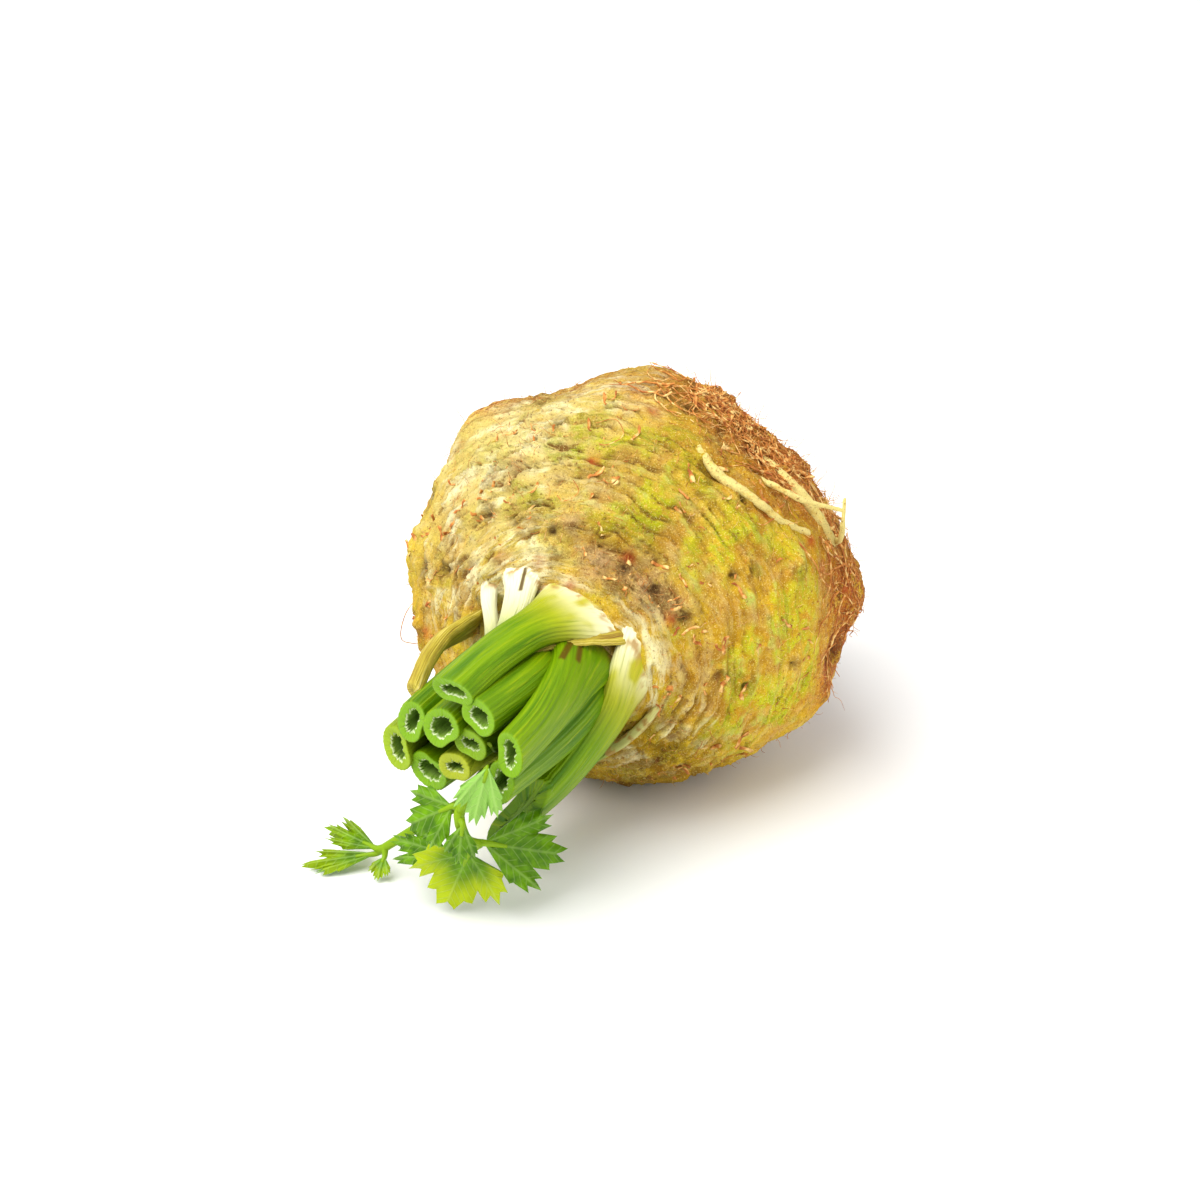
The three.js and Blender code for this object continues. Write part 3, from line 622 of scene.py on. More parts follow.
# Root hair is dry plant fibre, matt and orange brown, lighter in patches.
fibre, tree = new_material("dry root fibre")
place = add(tree, "ShaderNodeTexCoord").outputs["Object"]
FIBRE_TONES = ((0.35, "#a0561a"), (0.5, "#cd8636"), (0.65, "#eecb7e"))
dress(fibre, colour_ramp(tree, cloud(tree, place, 420, 2), FIBRE_TONES), 0.8)
add_hairs("root_hairs", fibre, {
    "Hairs per square metre": 230000, "Length": 0.0032, "Radius": 0.00009, "Curl": 0.005,
    "Curls per metre": 260}, 3, 8)
add_hairs("long_root_hairs", fibre, {
    "Hairs per square metre": 20000, "Length": 0.006, "Radius": 0.00013, "Curl": 0.013,
    "Curls per metre": 190}, 11, 14)

# The finest side roots: a tangle of wiry orange-brown threads on the root mat, each some 20 mm long, that
# wanders over the skin with both ends free. A few single ones stand off the skin in loops.
THREADS = 170
THREAD_STEPS = 8
THREAD_STEP_DEGREES = 2.8
LOOSE_THREADS = [
    ([(77, 27, -0.5), (75, 24, 1.5), (77, 19, 2), (82, 12, 1), (89, 6, 0.5)], 0.3, 0.12),
    ([(88, 22, 0.5), (91, 17, 2), (96, 11, 1.5), (99, 3, 0.5), (101, -6, 0)], 0.25, 0.12),
    ([(96, 76, -0.5), (98, 74, 3), (99, 71, 5.5), (97, 69, 5), (97, 71, 3.5)], 0.2, 0.12),
    ([(57, -178, -0.5), (59, -172, 4), (62, -164, 5), (66, -160, 3)], 0.15, 0.12),
    ([(44, 100, 0), (42, 96, 1.5), (45, 91, 1), (48, 94, 1.5)], 0.16, 0.1),
    ([(62, 94, 0), (60, 88, 1), (64, 84, 1), (68, 88, 1), (67, 94, 0.5)], 0.16, 0.1),
]
threads = []
for n in range(THREADS):
    at, around = 98 + 30 * (chance(n, 11) - 0.45), 58 + 50 * (chance(n, 12) - 0.5)
    heading = 6.3 * chance(n, 13)
    # One in six lies on the rusty side of the bulb.
    if n % 6 == 0:
        at, around = 95 + 16 * (chance(n, 14) - 0.5), 2 + 36 * (chance(n, 15) - 0.5)
    route = []
    for step in range(THREAD_STEPS):
        free = 1.2 if step in (0, THREAD_STEPS - 1) else 0.1
        route.append((at, around, free + 0.7 * chance(THREAD_STEPS * n + step, 16)))
        heading += 1.1 * (chance(THREAD_STEPS * n + step, 17) - 0.5)
        at += THREAD_STEP_DEGREES * math.cos(heading)
        around += THREAD_STEP_DEGREES * math.sin(heading) / math.sin(math.radians(at))
    threads.append((route, 0.16 + 0.22 * chance(n, 18) ** 2, 0.1))
root_threads = roots_along("root_threads", threads + LOOSE_THREADS, {
    "Step": 0.0009, "Sides": 6, "Knot height": 0.0001, "Knots per metre": 400})
root_threads.data.materials[0] = fibre

# Papery scraps of old leaf bases: thin brown and straw coloured flakes, a few millimetres long, that
# dried and curled away from the skin round the crown. Each is a small bent sheet.
flake_tree, size = new_tree("papery flakes", ["Flakes per square metre", "Length", "Width"])
points, stance, share = scattered(
    flake_tree, size, "flaky", "Flakes per square metre", (0.2, 0.3), (0.3, 1.2), 21)
sheet = add(flake_tree, "GeometryNodeMeshCube", None, {
    "Size": (1, 1, 0.04), "Vertices X": 3, "Vertices Y": 7, "Vertices Z": 2}).outputs[0]
position = add(flake_tree, "GeometryNodeInputPosition").outputs[0]
along = add(flake_tree, "ShaderNodeSeparateXYZ", None, {0: position}).outputs[1]
bow = maths(flake_tree, "MULTIPLY", maths(flake_tree, "MULTIPLY", along, along), 0.7)
lift = add(flake_tree, "ShaderNodeCombineXYZ", None, {"Z": bow}).outputs[0]
full_size = add(flake_tree, "ShaderNodeCombineXYZ", None, {
    "X": size["Width"], "Y": size["Length"], "Z": size["Length"]}).outputs[0]
flakes = planted(flake_tree, points, moved(flake_tree, sheet, lift), stance,
                 scaled(flake_tree, full_size, share))
finish_tree(flake_tree, crinkled(flake_tree, flakes, 420, 2, 0.003), fibre)
grown("papery_flakes", bulb_piece, flake_tree, {
    "Flakes per square metre": 15000, "Length": 0.005, "Width": 0.0009})

# Cut leaf stalks. Each is one ribbed petiole of crisp green tissue with a white pith and a hollow
# middle, broad and pale where it clasps the crown. One slanting knife stroke cut them all.
STALK_WALL = 2.6
CUT_SLOPE = (-0.26, 0.02, 0.96)
TOP_CUT_SLOPE = (-0.2, -0.3, 0.93)
STALK_SIDES = 104
STALK_RINGS = 54
RIBS = 26
# Each stalk: points of its path, the way that its outer side faces at its foot and at its cut in degrees,
# its width at its foot, further up and at its cut, its thickness, and the share of it that is pale.
STALKS = {
    "stalk_right": ([(4, 5, 48), (9.2, 5, 62), (12, 4.6, 76), (13, 2, 102), (12, 0.3, 118)],
                    (68, 2), (27, 15, 13), 9, 0.2),
    "stalk_upper": ([(-0.5, 1, 50), (2.4, 3.6, 68), (3.9, 6, 86), (1.5, 7.4, 114)],
                    (80, 60), (12, 11, 11.4), 10.4, 0.1),
    "stalk_lower_right": ([(14, -8, 48), (13.7, -8, 67), (11.9, -9.4, 82), (7, -10.8, 114)],
                          (-5, -25), (17, 14, 13.6), 10, 0.15),
    "stalk_outer_right": ([(25, 3, 45), (21, -3, 57), (17.6, -12, 67), (14.2, -18.2, 74.5),
                           (9.2, -25.2, 82), (1.6, -33, 90.5)], (15, -28), (29, 12, 24), 9.4, 0.42),
    "stalk_left": ([(-18, 0, 48), (-19.6, -0.6, 80), (-21.2, -1.6, 107)],
                   (130, 160), (14, 12.4, 13), 9.2, 0.1),
    "stalk_outer_left": ([(-24, -13, 44), (-26.2, -11.8, 78), (-26.7, -11.5, 105)],
                         (195, 195), (18, 12, 12.8), 9.4, 0.1),
    "stalk_middle": ([(-9, -3, 52), (-10, -0.6, 82), (-11.2, -0.2, 110)],
                     (110, 130), (12, 12, 13), 11, 0.1),
    "stalk_heart": ([(-1, -6, 52), (-1.6, -4.6, 84), (-2.8, -3.4, 110)],
                    (60, 80), (11, 10, 11), 8.6, 0.1),
    "stalk_young": ([(-5, -14, 52), (-6.6, -12.8, 82), (-8.3, -12, 108.5)],
                    (100, 100), (11, 9.8, 10.8), 8.4, 0.1),
    "stalk_lower": ([(-13, -24, 45), (-15.4, -18.5, 78), (-17, -15.8, 106)],
                    (250, 250), (17, 13, 12.8), 10, 0.1),
    "stalk_top": ([(9.5, 14.5, 47), (4.8, 15, 59), (-1.5, 14.6, 76), (-4.4, 14.2, 96), (-6.2, 12.8, 113)],
                  (62, 92), (29, 12, 13.4), 9, 0.36),
}


def measured(line):
    """How far along a line each of its points lies."""
    return np.concatenate(([0], np.cumsum(np.linalg.norm(np.diff(line, axis=0), axis=1))))


def along_line(line, lengths, far):
    """The place that lies that far along a line, or a row of places for a row of distances."""
    return np.stack([np.interp(far, lengths, line[:, k]) for k in range(3)], -1)


def tube_faces(rings, sides):
    """Quads between rings, and a fan over each end round its middle. The two middle points come last."""
    index = np.arange(rings * sides).reshape(rings, sides)
    onward = np.roll(index, -1, axis=1)
    faces = np.stack((index[:-1], onward[:-1], onward[1:], index[1:]), -1).reshape(-1, 4).tolist()
    faces += [(int(b), int(a), rings * sides) for a, b in zip(index[0], onward[0])]
    faces += [(int(a), int(b), rings * sides + 1) for a, b in zip(index[-1], onward[-1])]
    return faces


def stalk_mesh(path, out, wide, thick, pale_share, slope=CUT_SLOPE, wall=STALK_WALL, seed=0.0):
    """Points, faces and painted values of a stalk, hollow at its cut end where wall isn't 0."""
    line = smooth_path(path, 1)
    lengths = measured(line)
    slope, end = np.array(slope) / np.linalg.norm(slope), np.array(path[-1], float)
    a = 2 * np.pi * (np.arange(STALK_SIDES) + 0.5) / STALK_SIDES
    across, through = np.cos(a), np.sin(a)
    ragged = rough(np.column_stack((across * 9, through * 9, 0 * a)), 1.7, 3, seed + 3)
    # The ribs are high on the outer side and low on the inner side, which also has one broad groove.
    ribs, rib_height = np.cos(RIBS * a + seed), np.where(through > -0.3, 1, 0.4)
    groove = np.where(through < 0, 0.2 * np.exp(-(across / 0.45) ** 2), 0)
    # Each ring: its share of the length, how far it lies inside the stalk, and for the rings of the cut
    # how far it lies below the cut.
    rings = [(share, 0, None) for share in np.linspace(0, 0.95, STALK_RINGS)]
    rings += [(1, 0, 0.5), (1, 0.05, 0.22), (1, 0.2, 0.05), (1, 0.45, 0), (1, 0.85, 0.05)]
    if wall:
        rings += [(1, 1.3, 0.15), (1, wall * 0.8, 0.3), (1, wall * 0.9, 0.4), (1, wall, 0.7)]
        rings += [(1, wall * 1.08, 1.6), (1, wall * 1.12, 3.2), (1, wall * 1.16, 6), (1, wall * 1.2, 10)]
    else:
        rings += [(1, thick / 5, 0), (1, thick / 3, 0)]
    points, inside, below, shares = [], [], [], []
    for number, (share, inset, sunk) in enumerate(rings):
        middle = along_line(line, lengths, share * lengths[-1])
        ahead, behind = (along_line(line, lengths, np.clip(share * lengths[-1] + step, 0, lengths[-1]))
                         for step in (0.4, -0.4))
        tangent = (ahead - behind) / np.linalg.norm(ahead - behind)
        facing = math.radians(out[0] + (out[1] - out[0]) * smooth(share, 0, 0.9))
        outward = np.array((math.cos(facing), math.sin(facing), 0))
        outward -= outward @ tangent * tangent
        outward /= np.linalg.norm(outward)
        side = np.cross(outward, tangent)
        flare = (1 - smooth(share, 0, 0.5)) ** 1.2
        plain = wide[1] + (wide[2] - wide[1]) * smooth(share, 0.3, 1)
        ragged_inset = inset * (1 + 0.3 * ragged * (inset > 1.5) * (sunk is not None and sunk < 3))
        half_wide = (plain + (wide[0] - plain) * flare) / 2 - ragged_inset
        half_thick = thick * (1 - 0.3 * flare) / 2 - ragged_inset
        rib = (0.016 - 0.007 * flare) * ribs * rib_height * (inset < 0.3)
        x = np.sign(across) * np.abs(across) ** 0.88 * half_wide * (1 + rib)
        y = through * half_thick * (1 - groove) * (1 + rib) - across ** 2 * flare * half_wide * 0.16
        ring = middle + x[:, None] * side + y[:, None] * outward
        # A ring of the cut lies at its place by the slope. The others only stay below it, in their order.
        to_cut = (end - ring) @ slope / (slope @ tangent)
        if sunk is None:
            move = np.minimum(0, to_cut - (0.8 + 0.3 * (STALK_RINGS - 1 - number)))
        else:
            move = to_cut - sunk
        points.append(ring + move[:, None] * tangent)
        inside.append(np.full(STALK_SIDES, inset))
        below.append(np.full(STALK_SIDES, sunk or 0))
        shares.append(np.full(STALK_SIDES, share))
    points = np.vstack([*points, points[0].mean(axis=0), points[-1].mean(axis=0)])
    share, inset, depth = (np.append(np.concatenate(rows), ends) for rows, ends in (
        (shares, (0, 1)), (inside, (0, thick / 2)), (below, (0, 12))))
    angle = np.append(np.tile(a, len(rings)), (0, 0))
    values = {
        "foot": (1 - smooth(share, pale_share * 0.4, pale_share * 1.5)) * (inset < 0.3),
        "rim": smooth(inset, 0.1, 0.5) * (wall > 0),
        "pith": smooth(inset, 0.9 * wall, wall) * (depth < 1) * (wall > 0),
        "inside": smooth(depth, 0.6, 2.5) * (inset > 1),
        "grain": np.column_stack((4 * np.cos(angle), 4 * np.sin(angle), share * lengths[-1] * 0.035 + seed)),
    }
    return points, tube_faces(len(rings), STALK_SIDES), values


# Petiole tissue is wet and crisp under a thin waxy skin, so it has a soft sheen. Ribs show as fine pale
# and dark green lines, the foot fades to white, and the cut shows a light rim, white pith and a dark hollow.
petiole, tree = new_material("waxy celery petiole")
grain = painted_value(tree, "grain", "Vector")
place = add(tree, "ShaderNodeTexCoord").outputs["Object"]
PETIOLE_LAYERS = [
    ("#a4b008", None, "lines", 0.5, 0.74, 0.42),
    ("#2f5200", None, "lines", 0.46, 0.3, 0.3),
    ("#bcb428", "foot", "lines", 0.1, 0.45, 0.9),
    ("#efecc4", "white", "lines", 0.15, 0.42, 1),
    ("#78a31a", "rim", "speck", 0, 0.3, 1),
    ("#adb52c", "young", "lines", 0, 0.4, 0.9),
    ("#e6edc4", "pith", "speck", 0.3, 0.5, 1),
    ("#86a648", "inside", "speck", 0, 0.3, 1),
    ("#a98040", "torn", "speck", 0.2, 0.45, 0.9),
    ("#574008", "slit", "speck", 0.1, 0.35, 0.95),
]
patterns = {"lines": cloud(tree, grain, 1.6, 4, 0.6), "speck": cloud(tree, place, 900, 3)}
green = mix(tree, between(tree, cloud(tree, grain, 0.45, 2), 0.35, 0.62), "#477200", "#729400")
green = layered(tree, green, patterns, PETIOLE_LAYERS)
dress(petiole, green, 0.4, relief(tree, patterns["lines"], 0.8, 0.6), 0.16)

# Where a stalk meets the skin its edge is torn and brown. Two old slits run along the right stalk and a
# dark one splits the broad strap. Each slit: where it starts, where it ends and how wide it is.
SLITS = [
    ((8.6, 10.8, 69), (10.4, 11, 79.5), 1.3),
    ((11, 10.2, 68), (13.4, 9.2, 76), 1.2),
    ((-11.5, 22.5, 54), (-9.5, 19.8, 62), 0.8),
]


def browned(points):
    """How brown each point of a stalk is, along its torn edge by the skin and in the slits."""
    far = np.linalg.norm(points, axis=1)
    over = far - bulb_radius(points / far[:, None])
    torn = np.exp(-((over - 2) / 1.6) ** 2) * smooth(rough(points, 2.6, 3, 5), -0.1, 0.25)
    slit = np.zeros(len(points))
    for start, end, wide in SLITS:
        start, along = np.array(start), np.subtract(end, start)
        share = np.clip((points - start) @ along / (along @ along), 0, 1)
        apart = np.linalg.norm(points - start - share[:, None] * along, axis=1)
        slit = np.maximum(slit, smooth(apart, wide, 0.5 * wide))
    return {"torn": torn, "slit": slit}


# The youngest stalk, which grew in the dark, and the one at the left are yellower.
YELLOWED = {"stalk_young": 1, "stalk_outer_left": 0.45, "stalk_heart": 0.15}
FOOT_RINGS = 20
stalk_feet = []
for number, (name, (path, out, wide, thick, pale_share)) in enumerate(STALKS.items()):
    slope = TOP_CUT_SLOPE if name == "stalk_top" else CUT_SLOPE
    wall = 0 if name == "stalk_outer_right" else STALK_WALL
    points, faces, values = stalk_mesh(path, out, wide, thick, pale_share, slope, wall, 1.7 * number)
    by_foot = 1 - smooth(values["grain"][:, 2] - 1.7 * number, 0.2, 0.85)
    values["white"] = values["foot"] * by_foot * (pale_share > 0.3) * smooth(rough(points, 8, 2, 13), -0.5, 0)
    values |= browned(points)
    values["young"] = np.full(len(points), YELLOWED.get(name, 0))
    stalk_feet += points[:FOOT_RINGS * STALK_SIDES:3].tolist()
    stalk_piece = add_piece(name + "_skin", points, faces, values, petiole)
    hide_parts(name)

# The broad sheath of the top stalk has split into straps, which are white and papery where they leave
# the bulb, and an old leaf base was torn off beside it. Each is a thin solid strip of the same tissue.
STRAPS = {
    "top_strap": ([(-16, 25.4, 42), (-11.6, 19, 56), (-8.6, 15.4, 68), (-5.5, 13.4, 84)],
                  (112, 95), (21, 9, 6), 5.5),
    "side_strap": ([(-27, 16.5, 43), (-20.8, 13, 58), (-14, 11.6, 71), (-7.5, 12.3, 86)],
                   (140, 95), (8, 4, 4), 4),
}
TORN_BASE = ([(25, -12, 43), (24, -17, 50), (17.5, -24.5, 54), (10, -30, 56)], (-40, -40), (15, 12, 4), 3)
for number, (name, (path, out, wide, thick)) in enumerate(STRAPS.items()):
    points, faces, values = stalk_mesh(path, out, wide, thick, 0.75, wall=0, seed=5 + number)
    values["white"] = values["foot"]
    values |= browned(points)
    stalk_feet += points[:FOOT_RINGS * STALK_SIDES:3].tolist()
    strap = add_piece(name, points, faces, values, petiole)
points, faces, values = stalk_mesh(*TORN_BASE, 1, wall=0, seed=9)
values["white"] = 0.35 * values["foot"]
values["torn"] = smooth(rough(points, 2.5, 3, 15), -0.15, 0.25)
torn = add_piece("torn_leaf_base", points, faces, values, petiole)

# Between the cut stalks stand a thin sliver of stalk that the knife left and a yellow bud that hadn't
# opened yet. Both are of the same tissue as the stalks. The last value of each is how yellow it is.
SCRAPS = {
    "stalk_sliver": ([(0.6, -7, 96), (1.6, -6, 105), (3.6, -1.2, 111.5)], (40, 60), (3, 2.8, 1.8), 1, 0.2),
    "yellow_bud": ([(-0.5, -10.5, 98), (-2.6, -11.2, 104), (-4.2, -12.2, 109)],
                   (60, 60), (3.6, 3.8, 3), 3.2, 1),
}
for number, (name, (path, out, wide, thick, yellow)) in enumerate(SCRAPS.items()):
    points, faces, values = stalk_mesh(path, out, wide, thick, 0.1, wall=0, seed=14 + number)
    values["young"] = np.full(len(points), yellow)
    scrap = add_piece(name, points, faces, values, petiole)

# The skin swells up round the foot of each stalk and strap and fades into its pale tissue, so the edge
# where they leave the bulb isn't sharp. The bulb's mesh is raised there and painted pale.
feet = KDTree(len(stalk_feet))
for number, foot_place in enumerate(stalk_feet):
    feet.insert(foot_place, number)
feet.balance()
by_crown = np.nonzero(polar < 62)[0]
to_foot = np.full(len(on_skin), 99.0)
to_foot[by_crown] = [feet.find(on_skin[point])[2] for point in by_crown]
swell = np.exp(-((to_foot / 3.2) ** 2))
on_skin += directions * (1.5 * swell * (1 + 0.5 * bumps))[:, None]
bulb_values = bulb_piece.data.attributes
bulb_values["position"].data.foreach_set("vector", laid(on_skin).astype(np.float32).ravel())
pale_now = np.clip(np.maximum(pale, np.exp(-((to_foot / 5) ** 2)) * smooth(flow, -0.5, 0.2)), 0, 1)
bulb_values["pale"].data.foreach_set("value", pale_now.astype(np.float32))
bulb_piece.data.update()

# The withered stalk: an old leaf base that has dried, folded and browned, with a thin limp tip. Dried
# petiole tissue is leathery and dull, olive to yellow, with brown along its creases.
WITHERED = ([(-28, 1, 43), (-28.4, 3.4, 60), (-27.8, 6, 76), (-25.8, 5.8, 89), (-24, 3.2, 99)],
            (150, 135), (11, 9.6, 4), 5)
DRIED_TONES = ((0.3, "#74480f"), (0.42, "#a58c1c"), (0.55, "#c2b032"), (0.7, "#decc74"))
dried, tree = new_material("dried petiole")
creases = cloud(tree, painted_value(tree, "grain", "Vector"), 1.1, 5, 0.65)
dress(dried, colour_ramp(tree, creases, DRIED_TONES), 0.6, relief(tree, creases, 0.8, 1))
points, faces, values = stalk_mesh(*WITHERED, 0.1, wall=0, seed=21)
points += 0.5 * rough(points, 5, 3, 4)[:, None] * np.array((0.6, 0.8, 0))
withered = add_piece("withered_skin", points, faces, values, dried)
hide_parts("withered_stalk")

# The dried edge of the top stalk's sheath has come loose and hangs under it as a thin brown strip. It is
# of the same dried tissue.
DRY_EDGE = ([(19, 9.5, 58), (15, 10.3, 63), (10.6, 10.6, 67.5), (4.7, 10.4, 73), (0, 9.6, 79)],
            (50, 75), (5, 4, 1.6), 0.9)
points, faces, values = stalk_mesh(*DRY_EDGE, 0.1, wall=0, seed=31)
points += 0.5 * rough(points, 3, 3, 8)[:, None] * np.array((0.5, 0.8, 0))
dry_edge = add_piece("dry_sheath_edge", points, faces, values, dried)

# Two young leaves hang from the crown. Each is a thin green stem with toothed, three-lobed leaflets,
# soft and glossy above, paler and duller beneath, with fine pale veins.
BLADE = 0.5
TEETH = 22
STEPS_PER_TOOTH = 7
MIDRIB = (1.1, 0.5)
BLADE_RINGS = np.array([0.04, 0.1, 0.18, 0.27, 0.37, 0.47, 0.57, 0.66, 0.74, 0.81, 0.87, 0.92, 0.96,
                        0.99, 1])
# Each lobe: where its middle lies across the leaflet, how far it reaches and how wide it is.
LOBES = ((0, 1, 0.4), (0.64, 0.86, 0.42), (-0.64, 0.86, 0.42))
LEAVES = {
    "leaf_front": {
        "stem": [(-4, -19, 50), (-3.6, -18.5, 76), (-3, -16.8, 106),
                 (-3, -20, 117), (-2, -28, 115.5), (-1.8, -34, 107.5)],
        "radius": (2.2, 1.3),
        "leaflets": [
            dict(start=(-3, -20, 117), base=(7, -3, 120), tip=(3.6, -20, 123.5),
                 face=(0.35, 0.3, 0.85), spread=38, droop=0.1, cup=0.15, turned_over=1),
            dict(start=(-3, -19, 116), base=(-5, -18.6, 117), tip=(-18.7, -26.6, 119),
                 face=(-0.1, 0.35, 0.9), spread=60, droop=0.15, cup=0.1),
            dict(start=(-2.8, -21.6, 117), base=(-0.8, -22, 119.5), tip=(-1.6, -34, 121.5),
                 face=(0.2, 0.3, 0.93), spread=40, droop=0.1, cup=-0.3),
            dict(start=(-1.8, -33.2, 108.2), base=(-0.1, -33, 108), tip=(18, -41.5, 91.5),
                 face=(0.45, 0.4, 0.75), spread=45, droop=0.1, cup=0.1),
            dict(start=(-1.8, -34, 107.5), base=(-4.6, -37.2, 108), tip=(-13.2, -55.8, 104.5),
                 face=(0.4, 0.35, 0.85), spread=78, droop=-0.1, cup=0.15, yellow=1),
            dict(start=(-1.8, -33.8, 107.6), base=(-10.5, -39.5, 107), tip=(-32.5, -41.5, 100.5),
                 face=(0, 1, 1), spread=27, droop=0.1, cup=0.3),
        ],
    },
    "leaf_left": {
        "stem": [(-13, -35, 37), (-17, -39, 68), (-25, -40.5, 90), (-39.5, -52, 92)],
        "radius": (2.2, 1.2),
        "leaflets": [
            dict(start=(-37, -50, 92), base=(-40.5, -53, 92), tip=(-59.5, -56, 101),
                 face=(0.12, 0.93, 0.34), spread=20, droop=0.05, cup=0.1, yellow=0.5),
            dict(start=(-38, -50.6, 92), base=(-40, -51.3, 92), tip=(-59, -50.6, 86.5),
                 face=(0.1, 0.85, 0.5), spread=23, droop=0, cup=0.15, yellow=0.3),
            dict(start=(-37.6, -50.4, 92), base=(-37, -52.4, 93.5), tip=(-37, -56.8, 99.5),
                 face=(0.1, 0.75, 0.6), spread=45, droop=0.1, cup=0.2, yellow=0.5),
        ],
    },
}


def blade_mesh(base, tip, face, spread, droop, cup, turned_over=0, yellow=0, start=None, seed=0.0):
    """One leaflet: a fan of three lobes with both of its faces and its rim. Its stem uses its start."""
    foot, along = np.array(base, float), np.array(tip, float) - base
    length = np.linalg.norm(along)
    along /= length
    up = np.array(face) - np.dot(face, along) * along
    up /= np.linalg.norm(up)
    across = np.cross(up, along)
    grid = (len(BLADE_RINGS), TEETH * STEPS_PER_TOOTH + 1)
    share = np.linspace(-1, 1, grid[1])[None, :]
    ring = BLADE_RINGS[:, None]
    lobe_reach = [size * (1 - 0.3 * ((share - middle) / width) ** 2) for middle, size, width in LOBES]
    lobe = np.argmax(lobe_reach, axis=0)
    outline = np.max(lobe_reach, axis=0) * (1 - 0.2 * share ** 4)
    tooth_place = (share + 1) / 2 * TEETH
    toothed = 1 - np.abs(tooth_place % 2 - 1)
    tooth = 1 - 0.15 * smooth(ring, 0.45, 1) * toothed ** 0.8
    reach = length * outline * ring * tooth
    angle = np.radians(spread) * share
    a, c = reach * np.cos(angle), reach * np.sin(angle)
    ripple = 0.02 * length * np.sin(9 * np.pi * share + seed) * smooth(ring, 0.5, 1)
    lift = (cup * c * c - droop * a * np.abs(a)) / length
    lift = lift + 0.03 * length * np.cos(3 * np.pi * share) * ring + ripple
    normal = (up + (2 * droop * np.abs(a) / length)[..., None] * along
              - (2 * cup * c / length)[..., None] * across)
    normal /= np.linalg.norm(normal, axis=-1)[..., None]
    middle_sheet = foot + a[..., None] * along + c[..., None] * across + lift[..., None] * up
    half = (BLADE / 2 * (1 - 0.75 * smooth(ring, 0.8, 1)))[..., None]
    points = np.vstack([(middle_sheet + side * half * normal).reshape(-1, 3) for side in (1, -1)])
    layer = grid[0] * grid[1]
    index = np.arange(layer).reshape(grid)
    top = np.stack((index[:-1, :-1], index[:-1, 1:], index[1:, 1:], index[1:, :-1]), -1).reshape(-1, 4)
    faces = [*top.tolist(), *(top[:, ::-1] + layer).tolist()]
    rim = [*index[0, :-1], *index[:-1, -1], *index[-1, :0:-1], *index[:0:-1, 0]]
    faces += [(int(q), int(p), int(p) + layer, int(q) + layer) for p, q in zip(rim, rim[1:] + rim[:1])]
    lean = angle - np.radians(spread) * np.array([middle for middle, size, width in LOBES])[lobe]

    def at_points(value):
        """The value at each point of both faces."""
        return np.tile(np.broadcast_to(value, grid).reshape(-1), 2)

    return points, faces, {
        "veins_at": np.column_stack((at_points(reach * np.cos(lean)), at_points(reach * np.sin(lean)),
                                     at_points(0))),
        "under": np.repeat((turned_over, 1 - turned_over), layer),
        "yellow": yellow * at_points(smooth(ring, 0.3, 0.85)),
        "stem": np.zeros(2 * layer),
    }


def tube_mesh(path, thick, thin, sides=16, steps=40):
    """A round stem along a path, closed at both ends, with the same painted values as a leaflet."""
    line = smooth_path(path)
    lengths = measured(line)
    middle = along_line(line, lengths, np.linspace(0, lengths[-1], steps))
    tangent = np.gradient(middle, axis=0)
    tangent /= np.linalg.norm(tangent, axis=1)[:, None]
    side = np.cross((0.31, 0.17, 0.93), tangent)
    side /= np.linalg.norm(side, axis=1)[:, None]
    other = np.cross(tangent, side)
    a = 2 * np.pi * np.arange(sides) / sides
    radius = np.linspace(thick, thin, steps)[:, None] * (1 + 0.04 * np.cos(5 * a))
    spokes = np.cos(a)[:, None] * side[:, None] + np.sin(a)[:, None] * other[:, None]
    rings = middle[:, None] + radius[..., None] * spokes
    points = np.vstack((rings.reshape(-1, 3), middle[:1], middle[-1:]))
    ones = np.ones(len(points))
    # A place far from every midrib keeps the stem's tone even.
    return points, tube_faces(steps, sides), {
        "veins_at": 100 * np.ones((len(points), 3)), "under": 0 * ones, "yellow": 0.3 * ones, "stem": ones}


# A young celery leaf has a thin waxy skin: glossy deep green above, bluish and pale beneath, yellower
# where it was shaded. Veins a few millimetres apart catch the light as pale lines.
blade_skin, tree = new_material("young celery leaf")
place = add(tree, "ShaderNodeTexCoord").outputs["Object"]
VEIN_STEP = 2.6
at_vein = add(tree, "ShaderNodeSeparateXYZ", None, {0: painted_value(tree, "veins_at", "Vector")}).outputs
aside = maths(tree, "ABSOLUTE", at_vein[1])
slanted = maths(tree, "MULTIPLY_ADD", aside, -1.25, at_vein[0])
to_side_vein = maths(tree, "PINGPONG", slanted, VEIN_STEP / 2)
to_vein = maths(tree, "MINIMUM", maths(tree, "MULTIPLY", aside, 0.6), to_side_vein)
vein = between(tree, to_vein, 0.34, 0.08, course="SMOOTHSTEP")
leaf_tone = mix(tree, between(tree, cloud(tree, place, 260, 4), 0.35, 0.65), "#3f6a00", "#649200")
for shade, painted in (("#a8ba08", "yellow"), ("#84b24c", "under"), ("#7c9e10", "stem")):
    leaf_tone = mix(tree, painted_value(tree, painted), leaf_tone, shade)
leaf_tone = mix(tree, maths(tree, "MULTIPLY", vein, 0.13), leaf_tone, "#c3d98a")
dress(blade_skin, leaf_tone, 0.42, relief(tree, vein, 0.4, 0.5, sunk=True), 0.16)

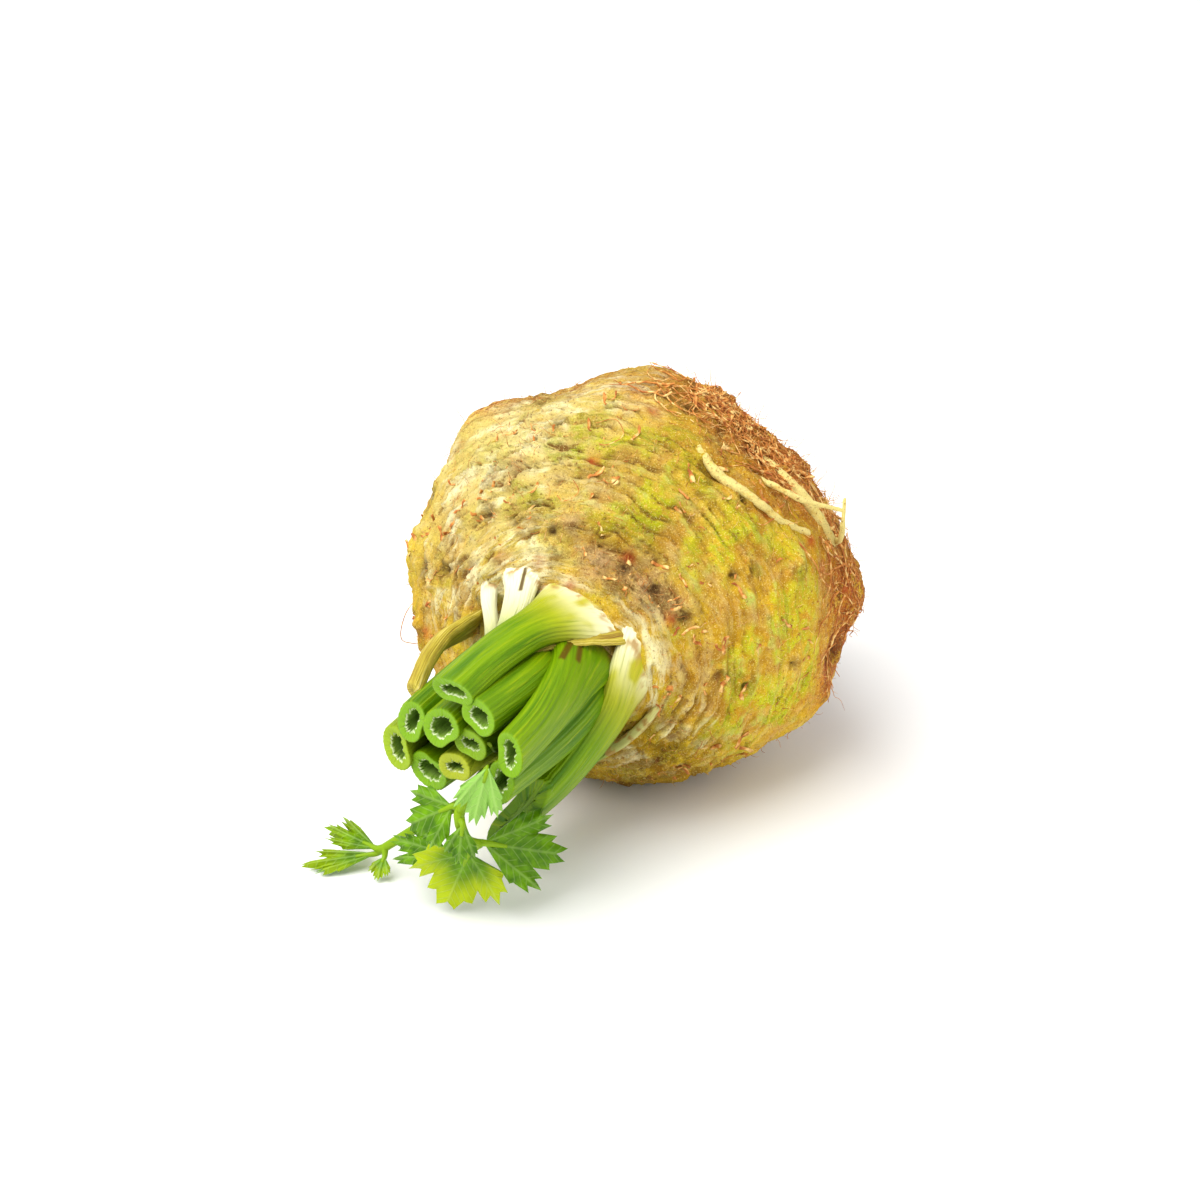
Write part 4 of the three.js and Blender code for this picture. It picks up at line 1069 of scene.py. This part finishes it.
for name, leaf in LEAVES.items():
    parts = [tube_mesh(leaf["stem"], *leaf["radius"])]
    for number, leaflet in enumerate(leaf["leaflets"]):
        parts.append(blade_mesh(**leaflet, seed=2.1 * number))
        foot, tip = np.array(leaflet["base"], float), np.array(leaflet["tip"], float)
        parts.append(tube_mesh([leaflet["start"], foot, foot + 0.12 * (tip - foot), foot + 0.26 * (tip - foot)],
                               *MIDRIB, 10, 16))
    start, faces = 0, []
    for points, part_faces, _ in parts:
        faces += [[int(corner) + start for corner in part_face] for part_face in part_faces]
        start += len(points)
    points = np.vstack([part[0] for part in parts])
    points[:, 1] = np.maximum(points[:, 1], 0.05 - CENTRE_HEIGHT)
    values = {key: np.concatenate([part[2][key] for part in parts]) for key in parts[0][2]}
    leaf_piece = add_piece(name + "_blades", points, faces, values, blade_skin)
    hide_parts(name)

# The stage: a plain white table top under an even white sky, lit by a large lamp from the upper left and
# a weak one from the right.
TABLE_HALF = 3
TABLE_CORNERS = [(x * TABLE_HALF, y * TABLE_HALF, 0) for x, y in ((-1, -1), (1, -1), (1, 1), (-1, 1))]
table_mesh = bpy.data.meshes.new("table")
table_mesh.from_pydata(TABLE_CORNERS, [], [(0, 1, 2, 3)])
table = new_object("table", table_mesh)
table_top, tree = new_material("white laminate table top")
tree.nodes["Principled BSDF"].inputs["Base Color"].default_value = colour("#f4f4f2")
tree.nodes["Principled BSDF"].inputs["Roughness"].default_value = 0.8
table_mesh.materials.append(table_top)

world = bpy.data.worlds.new("studio")
bpy.context.scene.world = world
world.use_nodes = True
world.node_tree.nodes["Background"].inputs["Color"].default_value = (1, 1, 1, 1)
world.node_tree.nodes["Background"].inputs["Strength"].default_value = 0.66
LIT_POINT = Vector((0, -0.02, 0.05))
# Each lamp: its name, its place and its width in metres, and its power in watts.
LAMPS = [
    ("key", (-0.5, -0.35, 1.1), 1.4, 26),
    ("fill", (0.9, -0.6, 0.5), 0.9, 3),
]
for name, position, width, power in LAMPS:
    light = bpy.data.lights.new(name, "AREA")
    light.size = width
    light.energy = power
    lamp = new_object(name, light)
    lamp.location = position
    lamp.rotation_euler = (LIT_POINT - Vector(position)).to_track_quat("-Z", "Y").to_euler()
bpy.context.scene.view_settings.view_transform = "Standard"

# The camera looks down at 25 degrees, as the photograph's does.
ELEVATION = math.radians(25)
DISTANCE_MM = 1100
LOOKED_AT_MM = 58
BULB_IN_FRAME_MM = (11.43, 7.14)
back = Vector((0, -math.cos(ELEVATION), math.sin(ELEVATION)))
above = Vector((0, math.sin(ELEVATION), math.cos(ELEVATION)))
lens = bpy.data.cameras.new("camera")
lens.sensor_width = 36
lens.lens = 115.5
camera = new_object("camera", lens)
camera.matrix_world = Matrix((
    (1, above.x, back.x, 0), (0, above.y, back.y, 0), (0, above.z, back.z, 0), (0, 0, 0, 1)))
camera.location = (Vector((0, 0, LOOKED_AT_MM)) + back * DISTANCE_MM - Vector((1, 0, 0)) * BULB_IN_FRAME_MM[0]
                   - above * BULB_IN_FRAME_MM[1]) / 1000
bpy.context.scene.camera = camera
